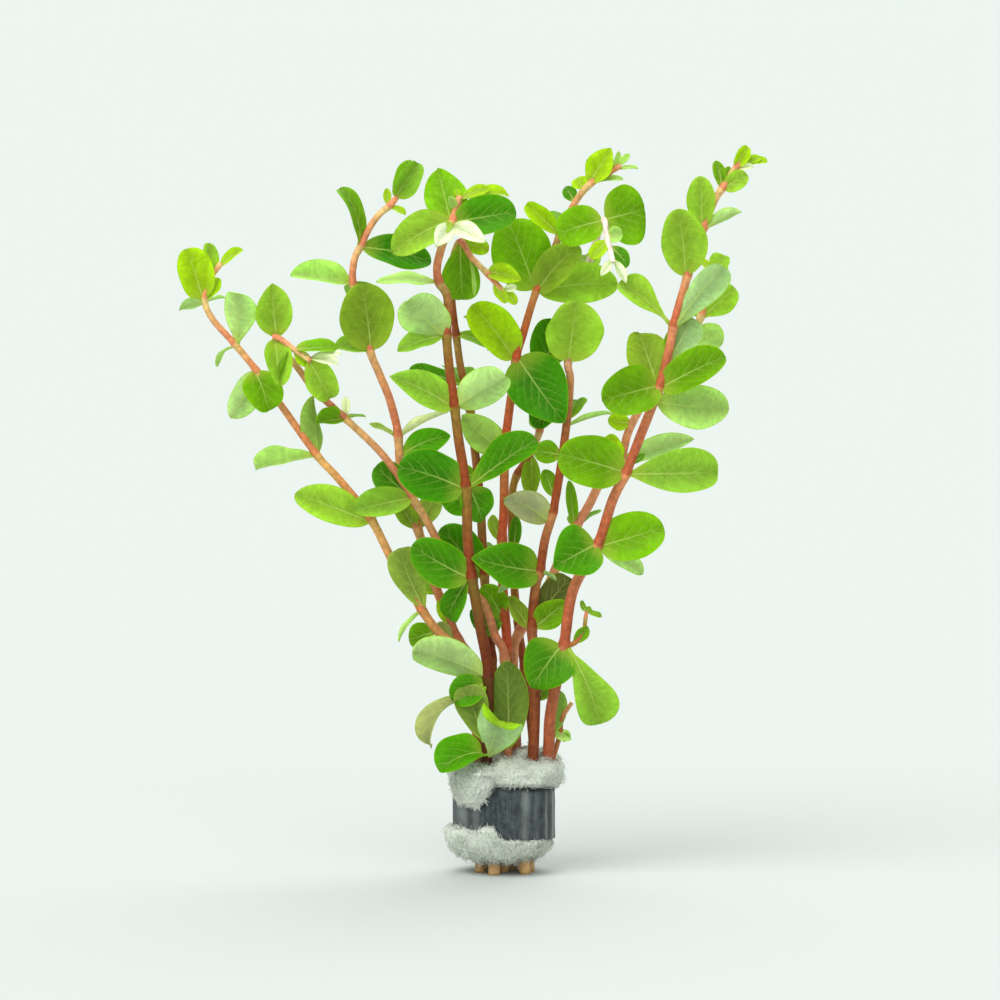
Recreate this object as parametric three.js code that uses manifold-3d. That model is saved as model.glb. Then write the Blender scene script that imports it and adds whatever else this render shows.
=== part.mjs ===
// A bunch of dwarf rotala: ten cut stems with round opposite leaves, their feet wrapped in
// a plug of white floss that a bent lead strip holds. The bunch stands on its cut ends.
// Millimetres, +Z up. The front, as a buyer sees the bunch, looks towards -Y.
import * as THREE from "three";
import { mergeVertices } from "three/addons/utils/BufferGeometryUtils.js";
import Module from "manifold-3d";

const wasm = await Module();
wasm.setup();

// Driving dimensions.
const GAP = 0.3; // clearance between touching pieces
const STRIP_WIDTH = 11.4;
const STRIP_THICK = 1.0;
const STRIP_RADIUS = 11.6; // outer face of the bent strip
const STRIP_CENTRE_X = 0.2;
const STRIP_START_DEG = -98; // outer end of the strip, just left of the front
const STRIP_OVERLAP_DEG = 25;
const WOOL_BOTTOM = 2.4; // how far the cut ends poke out below the floss
const WOOL_TOP = 25.4;
const COLLAR_RADIUS = 13.0;
const SKIRT_RADIUS = 12.1;
const TUFT_BEARING_DEG = -126; // the tuft of floss that hangs over the strip
const TUFT_HALF_ARC = 0.46; // in radians round the strip
const TUFT_HALF_HEIGHT = 4.4;
const TUFT_HALF_DEPTH = 1.7;
const TUFT_MIDDLE = 19.2;
const LEAF_THICK = 0.5; // at the midrib
const PETIOLE_WIDTH = 1.0;
const PETIOLE_SHARE = 0.1; // of the leaf's length
const LARGE_LEAF_AREA = 103; // length by width; larger leaves are pieces of their own
const STEM_SIDES = 5;
const NODE_SWELLING = 1.18; // a stem's radius at a node, by its radius between nodes
const SMALLEST_PETIOLE = 4; // a leaf narrower than this has a thinner petiole

// Each stem: its radius at the cut end and at the tip, the route of its axis from the cut
// end up (x, y, z), which of those points are nodes, and its leaves. A leaf is
// [point of the route it grows from, the way to its tip (x, y, z), its width,
//  the way its upper face looks (x, y, z), how far it bends down along its length
//  in degrees, and how far its two halves fold up about the midrib in degrees].
const STEMS = {
  a: {
    radii: [1.3, 0.8],
    route: [
      [-2, -5.5, 0], [-2, -5.5, 4], [-3, -5.5, 13], [-3.6, -5.4, 25.6],
      [-3.3, -5, 44.5], [-5.1, -5.5, 55.8], [-6.9, -6.5, 66.5], [-7.8, -7, 74.8],
      [-8.2, -8, 86.5], [-9.8, -9, 97.3], [-10.7, -9.5, 104.7], [-11.8, -10, 113],
      [-12.4, -10, 120.4], [-12.2, -10.2, 128.6], [-14.1, -10.5, 132.2],
      [-14.4, -10.5, 136.2], [-12.4, -10, 143], [-11.1, -10, 145.5], [-9.5, -9, 151],
    ],
    nodes: [4, 6, 8, 10, 12, 14, 17],
    leaves: [
      [3.1, -10.6, -5.4, -3.4, 11, -0.25, -0.75, 0.6, 60, 12],
      [3.05, 3.6, -7.4, 10.8, 11.4, 0.1, 1, -0.2, 15, 6],
      [3.25, -4.6, -1.5, 12.4, 7.7, -0.3, -1, 0.1, 8, -10],
      [4, -17, -5, 6.3, 9.6, 0, 1, 0.35, 10, 10],
      [3.9, -8.2, -1, -3.8, 8.3, -0.1, -0.9, 0.5, 15, 5],
      [6, -13.2, -4, 7.4, 10, -0.1, -1, 0.3, 12, 5],
      [6, -5.6, 2.5, -9.5, 6.6, -0.5, -0.9, 0.2, 15, 10],
      [8, -14.8, -5, 5.2, 12, 0, -1, 0.3, 15, 8],
      [8, 15.6, -3, 11, 9.8, -0.1, -0.8, 0.6, 15, 20],
      [8, 3.6, 2.5, -8, 8, 0.2, -1, 0, 10, 0],
      [10, -14.2, -4, 7, 8.6, -0.1, -0.9, 0.5, 20, 8],
      [10, 11.6, -3, 6.9, 9.6, 0, 1, 0.3, 10, 5],
      [12, -9, -5, 8.2, 10.4, 0.2, 1, 0.2, 5, 0],
      [12, -11, -0.5, -3.4, 6.4, 0, -0.8, 0.6, 15, 15],
      [14, -13.8, -2, 0.4, 6, 0, -0.45, 1, 25, 0],
      [17, -13, -9, -6.3, 9.6, 0, -0.9, 0.5, 15, 5],
      [17, 14, -3.5, 2.2, 9.6, 0, -1, 0.25, 12, 8],
      [17, -3.4, 6, 11.4, 9.6, 0, -1, 0.15, 10, 0],
      [18, 11, 2, 0.4, 4.8, 0, -0.6, 0.9, 20, 10],
      [18, 6.5, 0.5, 1.8, 3.4, 0, -0.7, 0.8, 15, 0],
    ],
  },
  b: {
    radii: [1.35, 0.7],
    route: [
      [5.6, -0.3, 0], [5.6, -0.3, 4], [7.8, -1, 14], [10, -2.2, 26.5], [10.4, -4, 34.5],
      [11.5, -5, 41.3], [13.5, -6, 51.3], [15.5, -7, 63.7], [20.9, -8.5, 73.9],
      [24.2, -9.5, 84], [27.1, -10, 90], [30.4, -10, 98.5], [34.4, -10, 109],
      [36.6, -9.5, 117.4], [37.5, -9, 122.3], [38.9, -8.5, 127.4], [40.6, -8, 133.3],
      [43.1, -7, 141.7], [44.2, -6.8, 143.8], [46.4, -6.5, 149.5], [48.4, -6, 152.7],
      [51.5, -5.5, 157.2], [53.7, -5, 158.7],
    ],
    nodes: [6, 8, 10, 12, 14, 16, 18, 20, 21],
    leaves: [
      [3.5, 2.6, 4, 9.5, 4.6, 0.3, 1, 0, 15, 0],
      [3.5, 5, 3, -0.5, 3.2, 0, -0.8, 0.6, 20, 0],
      [6, -7.2, -3, -9.2, 12.6, 0, -1, 0.3, 25, 5],
      [6, 8, -5, -17, 10.4, 0.3, -1, 0.4, 50, 8],
      [8, -9.8, -6, -4.4, 12.6, 0, -1, 0.35, 15, 5],
      [8, 14.6, -2.5, 4.2, 11.2, 0, -1, 0.25, 12, 6],
      [8, 10.2, 4.5, -6.7, 5, 0.2, 1, 0.3, 20, 0],
      [10, -14.8, -5, 4.6, 12.2, 0, -1, 0.2, 12, 6],
      [10, 20.2, -3, 0.4, 10.8, 0, -1, 0.4, 14, 6],
      [12, -12.6, -7.5, -2.4, 12, 0, -1, 0.35, 25, 5],
      [12, -4.4, 6, 11.8, 10, 0.1, -1, 0.1, 12, 0],
      [12, 14.4, -4, 7, 9.6, 0, -1, 0.45, 14, 8],
      [11.7, 16.6, 2, -1.8, 10.2, 0, -1, 0.3, 12, 4],
      [12.7, 5.5, 2.6, 9, 8, 0.2, 1, 0, 10, 0],
      [14, -11.8, 1, 10, 7.6, 0, -0.75, 0.7, 20, 8],
      [14, 11.2, -5, 13.5, 7.6, 0.3, 1, -0.1, 14, 5],
      [16, -2.2, -4, 15, 10.8, 0, -1, 0.1, 14, 5],
      [18, -0.8, -1, 11.6, 6.6, 0, -1, 0.1, 12, 5],
      [18, 8.4, -2.5, 4, 4.2, 0, 0.8, 0.6, 15, 25],
      [20, -1.6, 0.3, 6, 3, 0, -1, 0.1, 15, 5],
      [20, 5.4, -1, 3, 4.6, 0.2, -1, 0.3, 15, 10],
      [21, 2.4, 0, 4.6, 4, 0.2, -1, 0.2, 20, 25],
      [22, 4.6, 0, -0.2, 2.6, 0, -0.8, 0.6, 15, 15],
    ],
  },
  c: {
    radii: [1.3, 0.6],
    route: [
      [4.8, -4.2, 0], [4.8, -4.2, 4], [5.8, -4.3, 14], [6.7, -4.2, 27.3],
      [7.1, -3, 38.7], [7.1, -2, 47.6], [6.4, -1, 54.8], [7.3, -0.5, 64.3],
      [8.2, 0, 67.2], [9.3, 0, 74.2], [11.1, 0, 80.5], [12.7, 0, 89.8], [14.2, 0, 101],
      [14.9, 0, 110], [14.4, -0.5, 113.9], [16, 4.6, 123.4], [18.2, 5.4, 132.4],
      [20.9, 2, 141.4], [22.2, -5, 145.5], [23.1, -8, 141.1], [24.2, -10.5, 136.5],
    ],
    nodes: [6, 8, 10, 14, 18],
    leaves: [
      [4, 2.6, 4, 3, 4, 0, -1, 0.2, 15, 0],
      [6, 8.5, 2.5, 11, 7.2, 0.2, 1, 0, 12, 5],
      [6, 7.8, -1, 6, 6.8, 0.1, -1, 0.3, 12, 5],
      [6, -5.2, -1, 7, 4.6, 0.6, -0.8, 0, 12, 5],
      [8, -15, -9.5, 4, 11.2, 0, -1, 0.45, 15, 8],
      [8, -9.6, -3, -4.4, 3.6, 0, 0.6, 0.8, 15, 0],
      [9.7, -10.6, -4, 5.6, 8, -0.4, 0.8, 0.7, 60, 0],
      [10.4, -2.6, 1, 6, 3.6, 0, -1, 0, 15, 0],
      [11.3, -6.4, -1, 1, 5.4, 0, -1, 0.3, 15, 5],
      [11.9, 10.4, 3, 2.6, 3.6, 0, 0.5, 0.9, 10, 0],
      [14, 1.8, -3.5, 13.6, 13.2, 0.15, -1, 0.1, 12, 6],
      [18, -10.4, -3, -3, 9.2, 0.1, -1, 0.2, 15, 5],
      [18, 9.2, 1, 2.4, 14, 0, -1, 0.1, 12, 5],
      [19.3, 4, -1, -4.4, 3.8, 0.5, -0.9, 0, 20, 10],
      [20, 3, -1.5, -4.6, 2.8, 0.6, 0.8, 0.3, 15, 0],
      [19, -4, -1.5, -3.8, 3.8, -0.3, -1, 0.2, 15, 5],
      [16, 0.5, 8, 5, 8, 0, 0.4, 1, 20, 5],
      [12, 2.5, 8.5, 4, 7, 0, 0.3, 1, 20, 5],
    ],
  },
  d: {
    radii: [1.2, 0.65],
    route: [
      [1.8, 2.2, 0], [1.8, 2.2, 4], [2, 2.2, 14], [2, 2.2, 26.5], [1, 2.3, 49.5],
      [0, 2.7, 62.8], [-0.2, 3, 73.9], [0.2, 3, 80.7], [0.4, 3, 94], [1.1, 3, 100.7],
      [2, 3, 107.4], [2.9, 3, 114.5], [4.4, 3, 119.6], [6, 3, 125.2], [7.5, 2.8, 129.7],
      [9.3, 2.5, 133.1], [12.6, 2, 142], [16, 1.5, 149.2], [19.3, 1, 153.2],
      [22.6, 0.8, 155.3], [26, 0.5, 157.3],
    ],
    nodes: [4, 6, 8, 11, 14, 16, 18, 19],
    leaves: [
      [4.5, -5, -0.9, 7, 7, -0.2, -1, 0.1, 15, 0],
      [4.5, -6.2, 0.3, -2.8, 6, 0, -0.9, 0.4, 15, 0],
      [6, -2.4, 1.5, 5.6, 3, -0.2, -1, 0, 10, 0],
      [8, -9.6, -2, 8, 8.2, 0, 1, 0.2, 12, 5],
      [8, 7, 6, 1.5, 7, 0, -0.6, 0.8, 15, 5],
      [11, -9.8, -3, 12, 10.6, 0.1, -1, 0.3, 12, 8],
      [11, 10.6, -7.5, -13.8, 13.6, -0.1, -1, 0.25, 15, 8],
      [12, -13.2, 5, 4, 5, 0, -0.6, 0.8, 15, 5],
      [14, -6.4, -2.5, 15.6, 13.6, 0, -1, 0.15, 12, 6],
      [14, 18, -0.5, 1.4, 9.4, 0, -0.95, 0.25, 15, 6],
      [14, 9.2, -6, 10, 8.6, -0.2, -1, 0.2, 15, 6],
      [16, -7.4, 2, 6.6, 6.6, -0.2, -0.9, 0.4, 30, 35],
      [18, 4.6, -1, 8, 6.4, -0.2, -1, 0.2, 15, 10],
      [16, 1, 9.5, 4, 8.5, 0, 0.4, 1, 20, 5],
      [10, 0.5, 9.5, 3, 8, 0, 0.4, 1, 20, 5],
    ],
  },
  e: {
    radii: [1.15, 0.6],
    route: [
      [-5.1, -1.8, 0], [-5.1, -1.8, 4], [-5.1, -1.8, 14], [-5.3, -1.8, 27],
      [-7.5, -2, 39], [-10.7, -2.5, 49.9], [-14.6, -3, 54.2], [-18, -3.5, 59],
      [-24, -4, 69], [-29.1, -4, 79], [-34, -4, 85.3], [-37.3, -4.2, 89.2],
      [-41.3, -4.5, 93.6], [-48.4, -4.5, 103.6], [-54.4, -4.5, 112.1],
      [-59.1, -4.5, 117.9], [-64.2, -4.5, 123.7], [-65.9, -4.5, 128.1],
      [-64.6, -4.5, 132.6], [-62.2, -4.5, 136],
    ],
    nodes: [7, 9, 12, 14, 15, 17],
    leaves: [
      [4, -9.2, -4, -10.2, 8.4, -0.7, -0.5, 0.6, 110, 15],
      [6, -6.4, 3, -2.4, 6, 0, -0.8, 0.5, 15, 5],
      [7, -5, -3, 14, 8.4, -0.4, 1, 0, 12, -20],
      [7, -5.4, -2.5, -6.8, 3.4, -0.8, -0.3, 0.6, 25, 0],
      [9, -17, -2.5, 6.2, 8.8, 0, -1, 0.25, 12, 8],
      [9, 3, 9.5, 4, 8, 0, 0.4, 1, 20, 5],
      [12, -13.5, -1.5, -3, 8, 0, -0.7, 0.7, 15, 38],
      [12, -1, 3.2, 12.8, 8, -0.75, 0.7, 0, 12, 5],
      [14, -6, 3, -10.6, 7.6, 0.4, 1, 0.3, 25, 15],
      [14, 2.8, -3, -8.6, 9.2, 0, -1, 0.35, 15, 5],
      [15, 0.8, -3.5, 12, 8.2, 0.25, 1, -0.1, 12, 10],
      [15, -4.4, 2.5, -5, 3.6, -0.5, 0.2, 1, 70, 0],
      [16.8, -5.8, -0.8, -1.4, 4.6, 0, 0.75, 1, 20, 5],
      [17, -3.8, -1.5, 11.2, 8.6, 0.15, -1, 0.1, 12, 6],
      [17.6, 0.6, 1.5, 9.6, 5, 0.6, -0.9, 0, 15, 10],
      [17, 3.2, 1.5, 4.6, 3.4, -0.3, -1, 0.2, 12, 0],
    ],
  },
  f: {
    radii: [1.1, 0.6],
    route: [
      [0.2, -0.7, 0], [0.2, -0.7, 4], [0.8, -1.7, 14], [1.1, -2, 26], [0.4, -1, 47.5],
      [-1.8, 0, 53], [-4, 0.5, 59.7], [-7.3, 0.5, 63], [-11.3, 0, 67.5],
      [-16.2, -0.5, 77.2], [-20.2, -1, 83.9], [-26.6, -2, 93.3], [-35.1, -3, 101.7],
      [-41.7, -4.5, 108], [-45.1, -5.5, 112.6], [-50.2, -6.5, 119.4],
      [-48.6, -9, 119.2], [-45.7, -10.2, 117], [-42.2, -11.5, 114.9],
    ],
    nodes: [4, 8, 10, 12, 15, 18],
    leaves: [
      [3.1, -0.3, -1.9, 20.2, 8.7, 0, 1, 0, 4, 0],
      [10, -12.6, -7, -2.4, 7.8, 0, -0.85, 0.5, 20, 8],
      [10, -8.2, 2.5, 6.6, 8.2, -0.2, -1, 0.2, 12, 5],
      [12, -6.4, -3.5, -1, 7.4, 0.2, -0.75, 0.55, 15, 32],
      [12, -3, 9, -1, 6.4, 0, 0.4, 1, 20, 5],
      [15, -0.4, -2, 12.4, 8.8, 0.1, -1, 0.15, 12, 6],
      [15, 1.4, -6, -10, 8, 0, -0.9, 0.5, 15, 25],
      [16.7, -2.8, -2, -7.6, 3, -0.9, -0.4, 0.3, 40, 0],
      [17, 9.4, -1, 0.8, 5, 0, -0.6, 0.8, 15, 8],
      [18, 4.4, 1.5, -8.6, 7.6, 0.1, -1, 0.3, 15, 6],
      [18, 6.8, -1, 1.8, 2.6, 0, -0.5, 0.8, 12, 10],
      [18, 6, -2, -0.6, 3.4, 0, -0.7, 0.7, 15, 15],
    ],
  },
  g: {
    radii: [1.15, 0.65],
    route: [
      [-3.6, 1.9, 0], [-3.6, 1.9, 4], [-3.2, 2, 14], [-2.9, 2.5, 26], [-6.2, 3.5, 45],
      [-10, 4, 51.5], [-12.7, 4, 57.8], [-15.8, 4, 65.6], [-19.1, 4, 76.7],
      [-21.8, 4, 83.8], [-22.9, 4, 89.9], [-23.3, 4, 97.2], [-24.2, 4, 101.7],
      [-25.5, 3.5, 106.2], [-27.8, 3, 111.8], [-29.5, 2.5, 116.3], [-31.7, 2, 127.4],
      [-33.3, 1.5, 131.3], [-32.9, 1, 136.5], [-31.5, 1, 139.4], [-29.5, 0.5, 143.6],
      [-27.3, 0, 146.6], [-25.1, 0, 148.4], [-23.3, 0, 150.6],
    ],
    nodes: [5, 8, 11, 15, 17, 19, 22],
    leaves: [
      [5.6, -2.6, -1, 5.6, 3.2, -0.2, -1, 0.2, 10, 0],
      [6.6, -4.8, 1, 4.6, 5.4, 0, -1, 0.2, 12, 0],
      [8, -4.4, -2, 6.2, 4.8, -0.5, -0.8, 0.3, 12, 0],
      [8, -6, 1.2, 5.6, 2.2, -0.3, -0.2, 1, 10, 0],
      [8, 4.4, 1.5, 7.6, 5.4, 0.2, 1, 0, 12, 0],
      [8, 0, 9.5, 3, 8, 0, 0.4, 1, 20, 5],
      [10.4, 11.4, 2, 4.2, 6.6, 0, -0.9, 0.4, 12, 5],
      [11, -6.4, 0.5, 2.7, 3, 0, -0.2, 1, 15, 0],
      [11, 10.9, 1.5, 5.4, 5, 0, 0.6, 1, 15, 0],
      [15, 1, 9.5, 4, 8, 0, 0.4, 1, 20, 5],
      [15, -1.8, -4, 15, 12.4, 0, -1, 0.1, 10, 5],
      [15, -7.8, 1.5, 0.9, 6.2, 0, -0.65, 0.8, 12, 5],
      [17, -13.8, -1.5, 2, 9, 0, -0.9, 0.5, 12, 32],
      [17, 2.5, 8, -6.5, 7.6, 0, 0.7, 0.8, 20, 5],
      [19, -4.6, 1, 13, 7.4, 0.85, -0.55, 0.2, 65, 0],
      [19, 15.6, 2, -3.6, 8.6, 0, -0.9, 0.5, 12, 5],
      [23, 4.4, -1.4, 7.4, 7.4, 0.4, -1, 0.1, 25, 35],
      [23, 2.8, 1.2, 8, 4, -0.5, -0.9, 0, 15, 10],
    ],
  },
  h: {
    radii: [1.15, 0.6],
    route: [
      [-2.2, 5.6, 0], [-2.2, 5.6, 4], [-2, 5.8, 14], [-1.5, 6, 26], [-2.5, 6.5, 47],
      [-4.2, 7, 65.8], [-5.1, 7, 82.5], [-6.4, 7, 94.8], [-7.3, 6.5, 102.6],
      [-8.4, 6, 108.2], [-9.5, 5.5, 112.7], [-10.4, 5, 119.5], [-11.3, 3, 127.4],
      [-11.3, 0, 135.5], [-9.5, -3, 140.7], [-6.9, -6, 137.2], [-3.6, -8, 134],
      [0.4, -9, 129.6],
    ],
    nodes: [4, 5, 6, 8, 11, 14, 16],
    leaves: [
      [4.4, -4, -5, 3.4, 5.6, 0, -1, 0.3, 12, 5],
      [5, -9.4, -4.5, 11, 9.6, 0.2, -1, 0.3, 12, 5],
      [5, 4, 8.5, 3, 8, 0, 0.4, 1, 20, 5],
      [6, -8.6, -3, 0.6, 8, 0, -1, 0.2, 12, 5],
      [6.6, 4.4, -3.5, 0.5, 6, -0.1, -0.9, 0.4, 12, 5],
      [6.4, -5.6, -2, 1.6, 4, 0, -1, 0.3, 12, 0],
      [9, -12.4, -2, 4.2, 4.6, 0, -0.6, 0.8, 15, 5],
      [9, -3, 9, 3.5, 8, 0, 0.4, 1, 20, 5],
      [11, 11, -1, -2.6, 5, 0, -0.6, 0.8, 15, 5],
      [12, 3, 8.5, 4, 7.6, 0, 0.4, 1, 20, 5],
      [14, 0.6, -2, -12.9, 9, 0.1, -1, 0.2, 20, 8],
      [14, 6.4, 0.5, -2, 4.4, 0, -1, 0.3, 12, 5],
      [16, 7.8, -1.5, -1.4, 5.2, 0.1, -0.9, 0.5, 15, 10],
    ],
  },
  i: {
    radii: [1.2, 0.75],
    route: [
      [2.2, 6, 0], [2.2, 6, 4], [2.5, 6.2, 14], [3, 6.4, 26.5], [2.3, 7, 46.9],
      [3.8, 8, 53], [9.5, 9, 61.9], [12.7, 10, 68.9], [16.4, 10.5, 76.2],
      [19.3, 11, 81.1], [21.5, 11, 85.5], [24.2, 11.5, 88.9], [26.4, 12, 91],
      [27.8, 12, 96.6], [29.8, 12, 101], [33.7, 12, 107.7], [38.2, 11.5, 114.5],
      [42.6, 10.5, 120.1], [44.2, 10, 123.5], [45.5, 9.5, 129.1], [47, 9, 134.7],
    ],
    nodes: [5, 8, 12, 15, 18, 20],
    leaves: [
      [8, -1.6, -2, 10.6, 3.2, 0.5, -0.8, 0, 12, 0],
      [8, 4, 8.5, 3, 8, 0, 0.4, 1, 20, 5],
      [12, 16.4, -1.5, 5, 5.8, 0, 1, 0.25, 15, 10],
      [12, -2.6, -2, 6, 5.2, -0.3, -1, 0, 12, 5],
      [13.6, -5.4, -1, 1, 4.4, 0, -1, 0.3, 12, 0],
      [15, 3, 9, 4, 8, 0, 0.4, 1, 20, 5],
      [17, 6.2, -2, -3, 7, 0.2, -1, 0.2, 12, 5],
      [18, 7.4, -1.5, 6.4, 7.2, 0.1, -1, 0.3, 18, 10],
      [18, -4, 2, 2.4, 4, 0, -0.8, 0.6, 12, 0],
      [20, 2.4, 0.4, 2.4, 5, 0, -0.9, 0.4, 40, 15],
    ],
  },
  j: {
    radii: [1.05, 0.7],
    route: [
      [6, 3.6, 0], [6, 3.6, 4], [6.4, 4.5, 14], [6.8, 6, 26.5], [4.8, 11, 44],
      [3.2, 12.8, 55], [2.2, 14, 68], [2, 15, 81.8], [3.1, 15, 87.4], [6, 15, 91.9],
      [8.2, 15, 97.4], [9.3, 15, 104], [9.3, 15, 112.7],
    ],
    nodes: [4, 6, 8, 10, 12],
    leaves: [
      [4, 6, 5, 2, 7.4, 0, 0.3, 1, 20, 5],
      [6.2, 0.8, -1.2, 7.6, 3, 0, -1, 0.2, 10, 0],
      [6, -6, 6, 3, 8, 0, 0.4, 1, 20, 5],
      [9, 0.4, -2.5, -9, 4.8, -0.3, -1, 0.2, 12, 5],
      [11, -1.6, -2, -6, 6, 0, -1, 0.2, 12, 5],
      [10, 3, 8, 3, 8, 0, 0.4, 1, 20, 5],
      [12, 1.2, -1.5, 10, 9.6, 0.1, -1, 0.2, 12, 8],
      [12, -2.6, 6, 6, 7, 0, 0.6, 0.8, 15, 5],
    ],
  },
};

// Young side shoots that branch off stem b: a radius and a route, with their own leaves.
const SIDE_SHOOTS = [
  {
    radii: [0.6, 0.45],
    route: [[9.6, -2.2, 22], [11.4, -1.2, 26.5], [12.7, -1, 31], [13.1, -1, 34.4], [15.3, -1.5, 38]],
    leaves: [[2, 1.8, 0.4, -1.4, 2.2, 0, -1, 0.2, 15, 0]],
  },
  {
    radii: [0.55, 0.35],
    route: [[13.5, -6, 50.9], [16, -6.3, 52], [17.8, -6.4, 54.4], [18.3, -6.4, 57.5], [18.5, -6.4, 59]],
    leaves: [
      [1, 2.9, -0.6, 3.6, 3.4, 0.4, -1, 0, 12, 10],
      [4, -1.2, 0, 2.4, 1.4, -0.3, -1, 0, 12, 0],
      [4, 0.8, -0.3, 1, 1.6, 0, -1, 0.3, 12, 0],
      [4, 3.5, 0, -1.2, 1.5, 0, -0.8, 0.6, 40, 0],
    ],
  },
];

const COLOURS = {
  leaf: 0x5fa516,
  young_leaf: 0x9ccb1f,
  stem: 0xb0593a,
  lead: 0x4a5254,
  wool: 0xd5e0d8,
};

const radians = THREE.MathUtils.degToRad;

function solidOf(geometry) {
  const bare = geometry.clone();
  bare.deleteAttribute("normal");
  bare.deleteAttribute("uv");
  const merged = mergeVertices(bare, 1e-4);
  return new wasm.Manifold(
    new wasm.Mesh({
      numProp: 3,
      vertProperties: new Float32Array(merged.attributes.position.array),
      triVerts: new Uint32Array(merged.index.array),
    }),
  );
}

function geometryOf(solid) {
  const mesh = solid.getMesh();
  const geometry = new THREE.BufferGeometry();
  geometry.setAttribute("position", new THREE.BufferAttribute(mesh.vertProperties, 3));
  geometry.setIndex(new THREE.BufferAttribute(mesh.triVerts, 1));
  geometry.computeVertexNormals();
  return geometry;
}

function meshOf(name, geometry, colour, roughness, metalness) {
  const material = new THREE.MeshStandardMaterial({ color: colour, roughness, metalness });
  const mesh = new THREE.Mesh(geometry, material);
  mesh.name = name;
  return mesh;
}

// Moves every vertex of a three.js geometry by a function of its position.
function reshape(geometry, place) {
  const position = geometry.attributes.position;
  const from = new THREE.Vector3();
  for (let i = 0; i < position.count; i += 1) {
    from.fromBufferAttribute(position, i);
    const to = place(from);
    position.setXYZ(i, to.x, to.y, to.z);
  }
  return geometry;
}

function axisOf(route) {
  const points = route.map(([x, y, z]) => new THREE.Vector3(x, y, z));
  return new THREE.CatmullRomCurve3(points, false, "catmullrom", 0.5);
}

const stemRadius = ({ radii, route }, at) => {
  return THREE.MathUtils.lerp(radii[0], radii[1], at / (route.length - 1));
};

// A stem: a five-sided rod along its route, thinner towards the tip and swollen at nodes.
function stemSolid(stem, extra = 0) {
  const steps = stem.route.length - 1;
  const axis = axisOf(stem.route);
  const depth = new THREE.Vector3(0, 1, 0);
  const rod = new THREE.CylinderGeometry(1, 1, 1, STEM_SIDES, steps);
  reshape(rod, ({ x, y, z }) => {
    const share = y + 0.5;
    const at = Math.round(share * steps);
    const along = axis.getTangent(share);
    const across = new THREE.Vector3().crossVectors(depth, along).normalize();
    const back = new THREE.Vector3().crossVectors(across, along);
    const swelling = (stem.nodes || []).includes(at) ? NODE_SWELLING : 1;
    const radius = stemRadius(stem, at) * swelling + extra;
    return axis
      .getPoint(share)
      .addScaledVector(across, x * radius)
      .addScaledVector(back, z * radius);
  });
  return solidOf(rod);
}

// Half the width of a blade of width 1 at a share of its length: a short petiole, then a
// round blade that is widest just past its middle.
function halfWidth(share, width) {
  const blade = Math.max(0, (share - PETIOLE_SHARE) / (1 - PETIOLE_SHARE));
  const round = Math.sqrt(1 - Math.abs(2 * blade ** 0.92 - 1) ** 2.2);
  const petiole = PETIOLE_WIDTH * Math.min(1, width / SMALLEST_PETIOLE);
  return 0.5 * Math.max(petiole, width * round);
}

// A leaf: a flattened ball drawn out from the base to the tip, bent down along an arc and
// folded about the midrib. The poles of the ball are the base and the tip.
function leafSolid(stem, leaf, attached) {
  const [at, dx, dy, dz, width, fx, fy, fz, bend, fold] = leaf;
  const axis = axisOf(stem.route);
  const share = at / (stem.route.length - 1);
  const tip = new THREE.Vector3(dx, dy, dz).add(axis.getPoint(share));
  const rooted = Math.min(share, 1 - 0.1 / stem.route.length); // just inside the stem's end
  const node = axis.getPoint(rooted);
  const along = axis.getTangent(rooted);
  const outward = new THREE.Vector3(dx, dy, dz);
  outward.addScaledVector(along, -outward.dot(along)).normalize();
  const radius = stemRadius(stem, at);
  const rootDistance = attached ? 0.3 * radius : NODE_SWELLING * radius + GAP;
  const base = node.clone().addScaledVector(outward, rootDistance);
  const chord = new THREE.Vector3().subVectors(tip, base);
  const length = chord.length();
  const forward = chord.clone().normalize();
  const face = new THREE.Vector3(fx, fy, fz);
  face.addScaledVector(forward, -face.dot(forward)).normalize();
  const side = new THREE.Vector3().crossVectors(face, forward);
  const turn = radians(Math.max(bend, 1));
  const arc = length / (2 * Math.sin(turn / 2));
  const lift = radians(fold);
  const stations = attached ? [0, 0.17, 0.5, 0.84, 1] : [0, 0.12, 0.3, 0.56, 0.8, 0.94, 1];
  const ball = new THREE.SphereGeometry(1, 4, stations.length - 1);
  return solidOf(
    reshape(ball, ({ x, y, z }) => {
      const fromBase = Math.acos(THREE.MathUtils.clamp(y, -1, 1)) / Math.PI;
      const row = Math.round(fromBase * (stations.length - 1));
      const u = stations[row];
      const ring = Math.hypot(x, z);
      const across = ring > 1e-6 ? x / ring : 0;
      const up = ring > 1e-6 ? z / ring : 0;
      const phi = turn * (u - 0.5);
      const half = halfWidth(u, width);
      const rise = 0.5 * LEAF_THICK * up + half * Math.abs(across) * Math.sin(lift);
      return base
        .clone()
        .addScaledVector(forward, length / 2 + arc * Math.sin(phi) + rise * Math.sin(phi))
        .addScaledVector(face, arc * (Math.cos(phi) - Math.cos(turn / 2)) + rise * Math.cos(phi))
        .addScaledVector(side, half * across * Math.cos(lift));
    }),
  );
}

// The lead strip, flat and then bent once round the floss: share runs from its outer end,
// at the front, anticlockwise as seen from above, to its inner end under the outer one.
const STRIP_TURN = 360 + STRIP_OVERLAP_DEG;
const STRIP_BOTTOM = [[0, 9], [98, 7.5], [188, 8.6], [278, 10.2], [360, 10.7], [STRIP_TURN, 10.8]];

function stripBottom(turned) {
  const next = STRIP_BOTTOM.findIndex(([angle]) => angle >= turned);
  if (next <= 0) return STRIP_BOTTOM[next === 0 ? 0 : STRIP_BOTTOM.length - 1][1];
  const [a0, z0] = STRIP_BOTTOM[next - 1];
  const [a1, z1] = STRIP_BOTTOM[next];
  return THREE.MathUtils.lerp(z0, z1, (turned - a0) / (a1 - a0));
}

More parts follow.
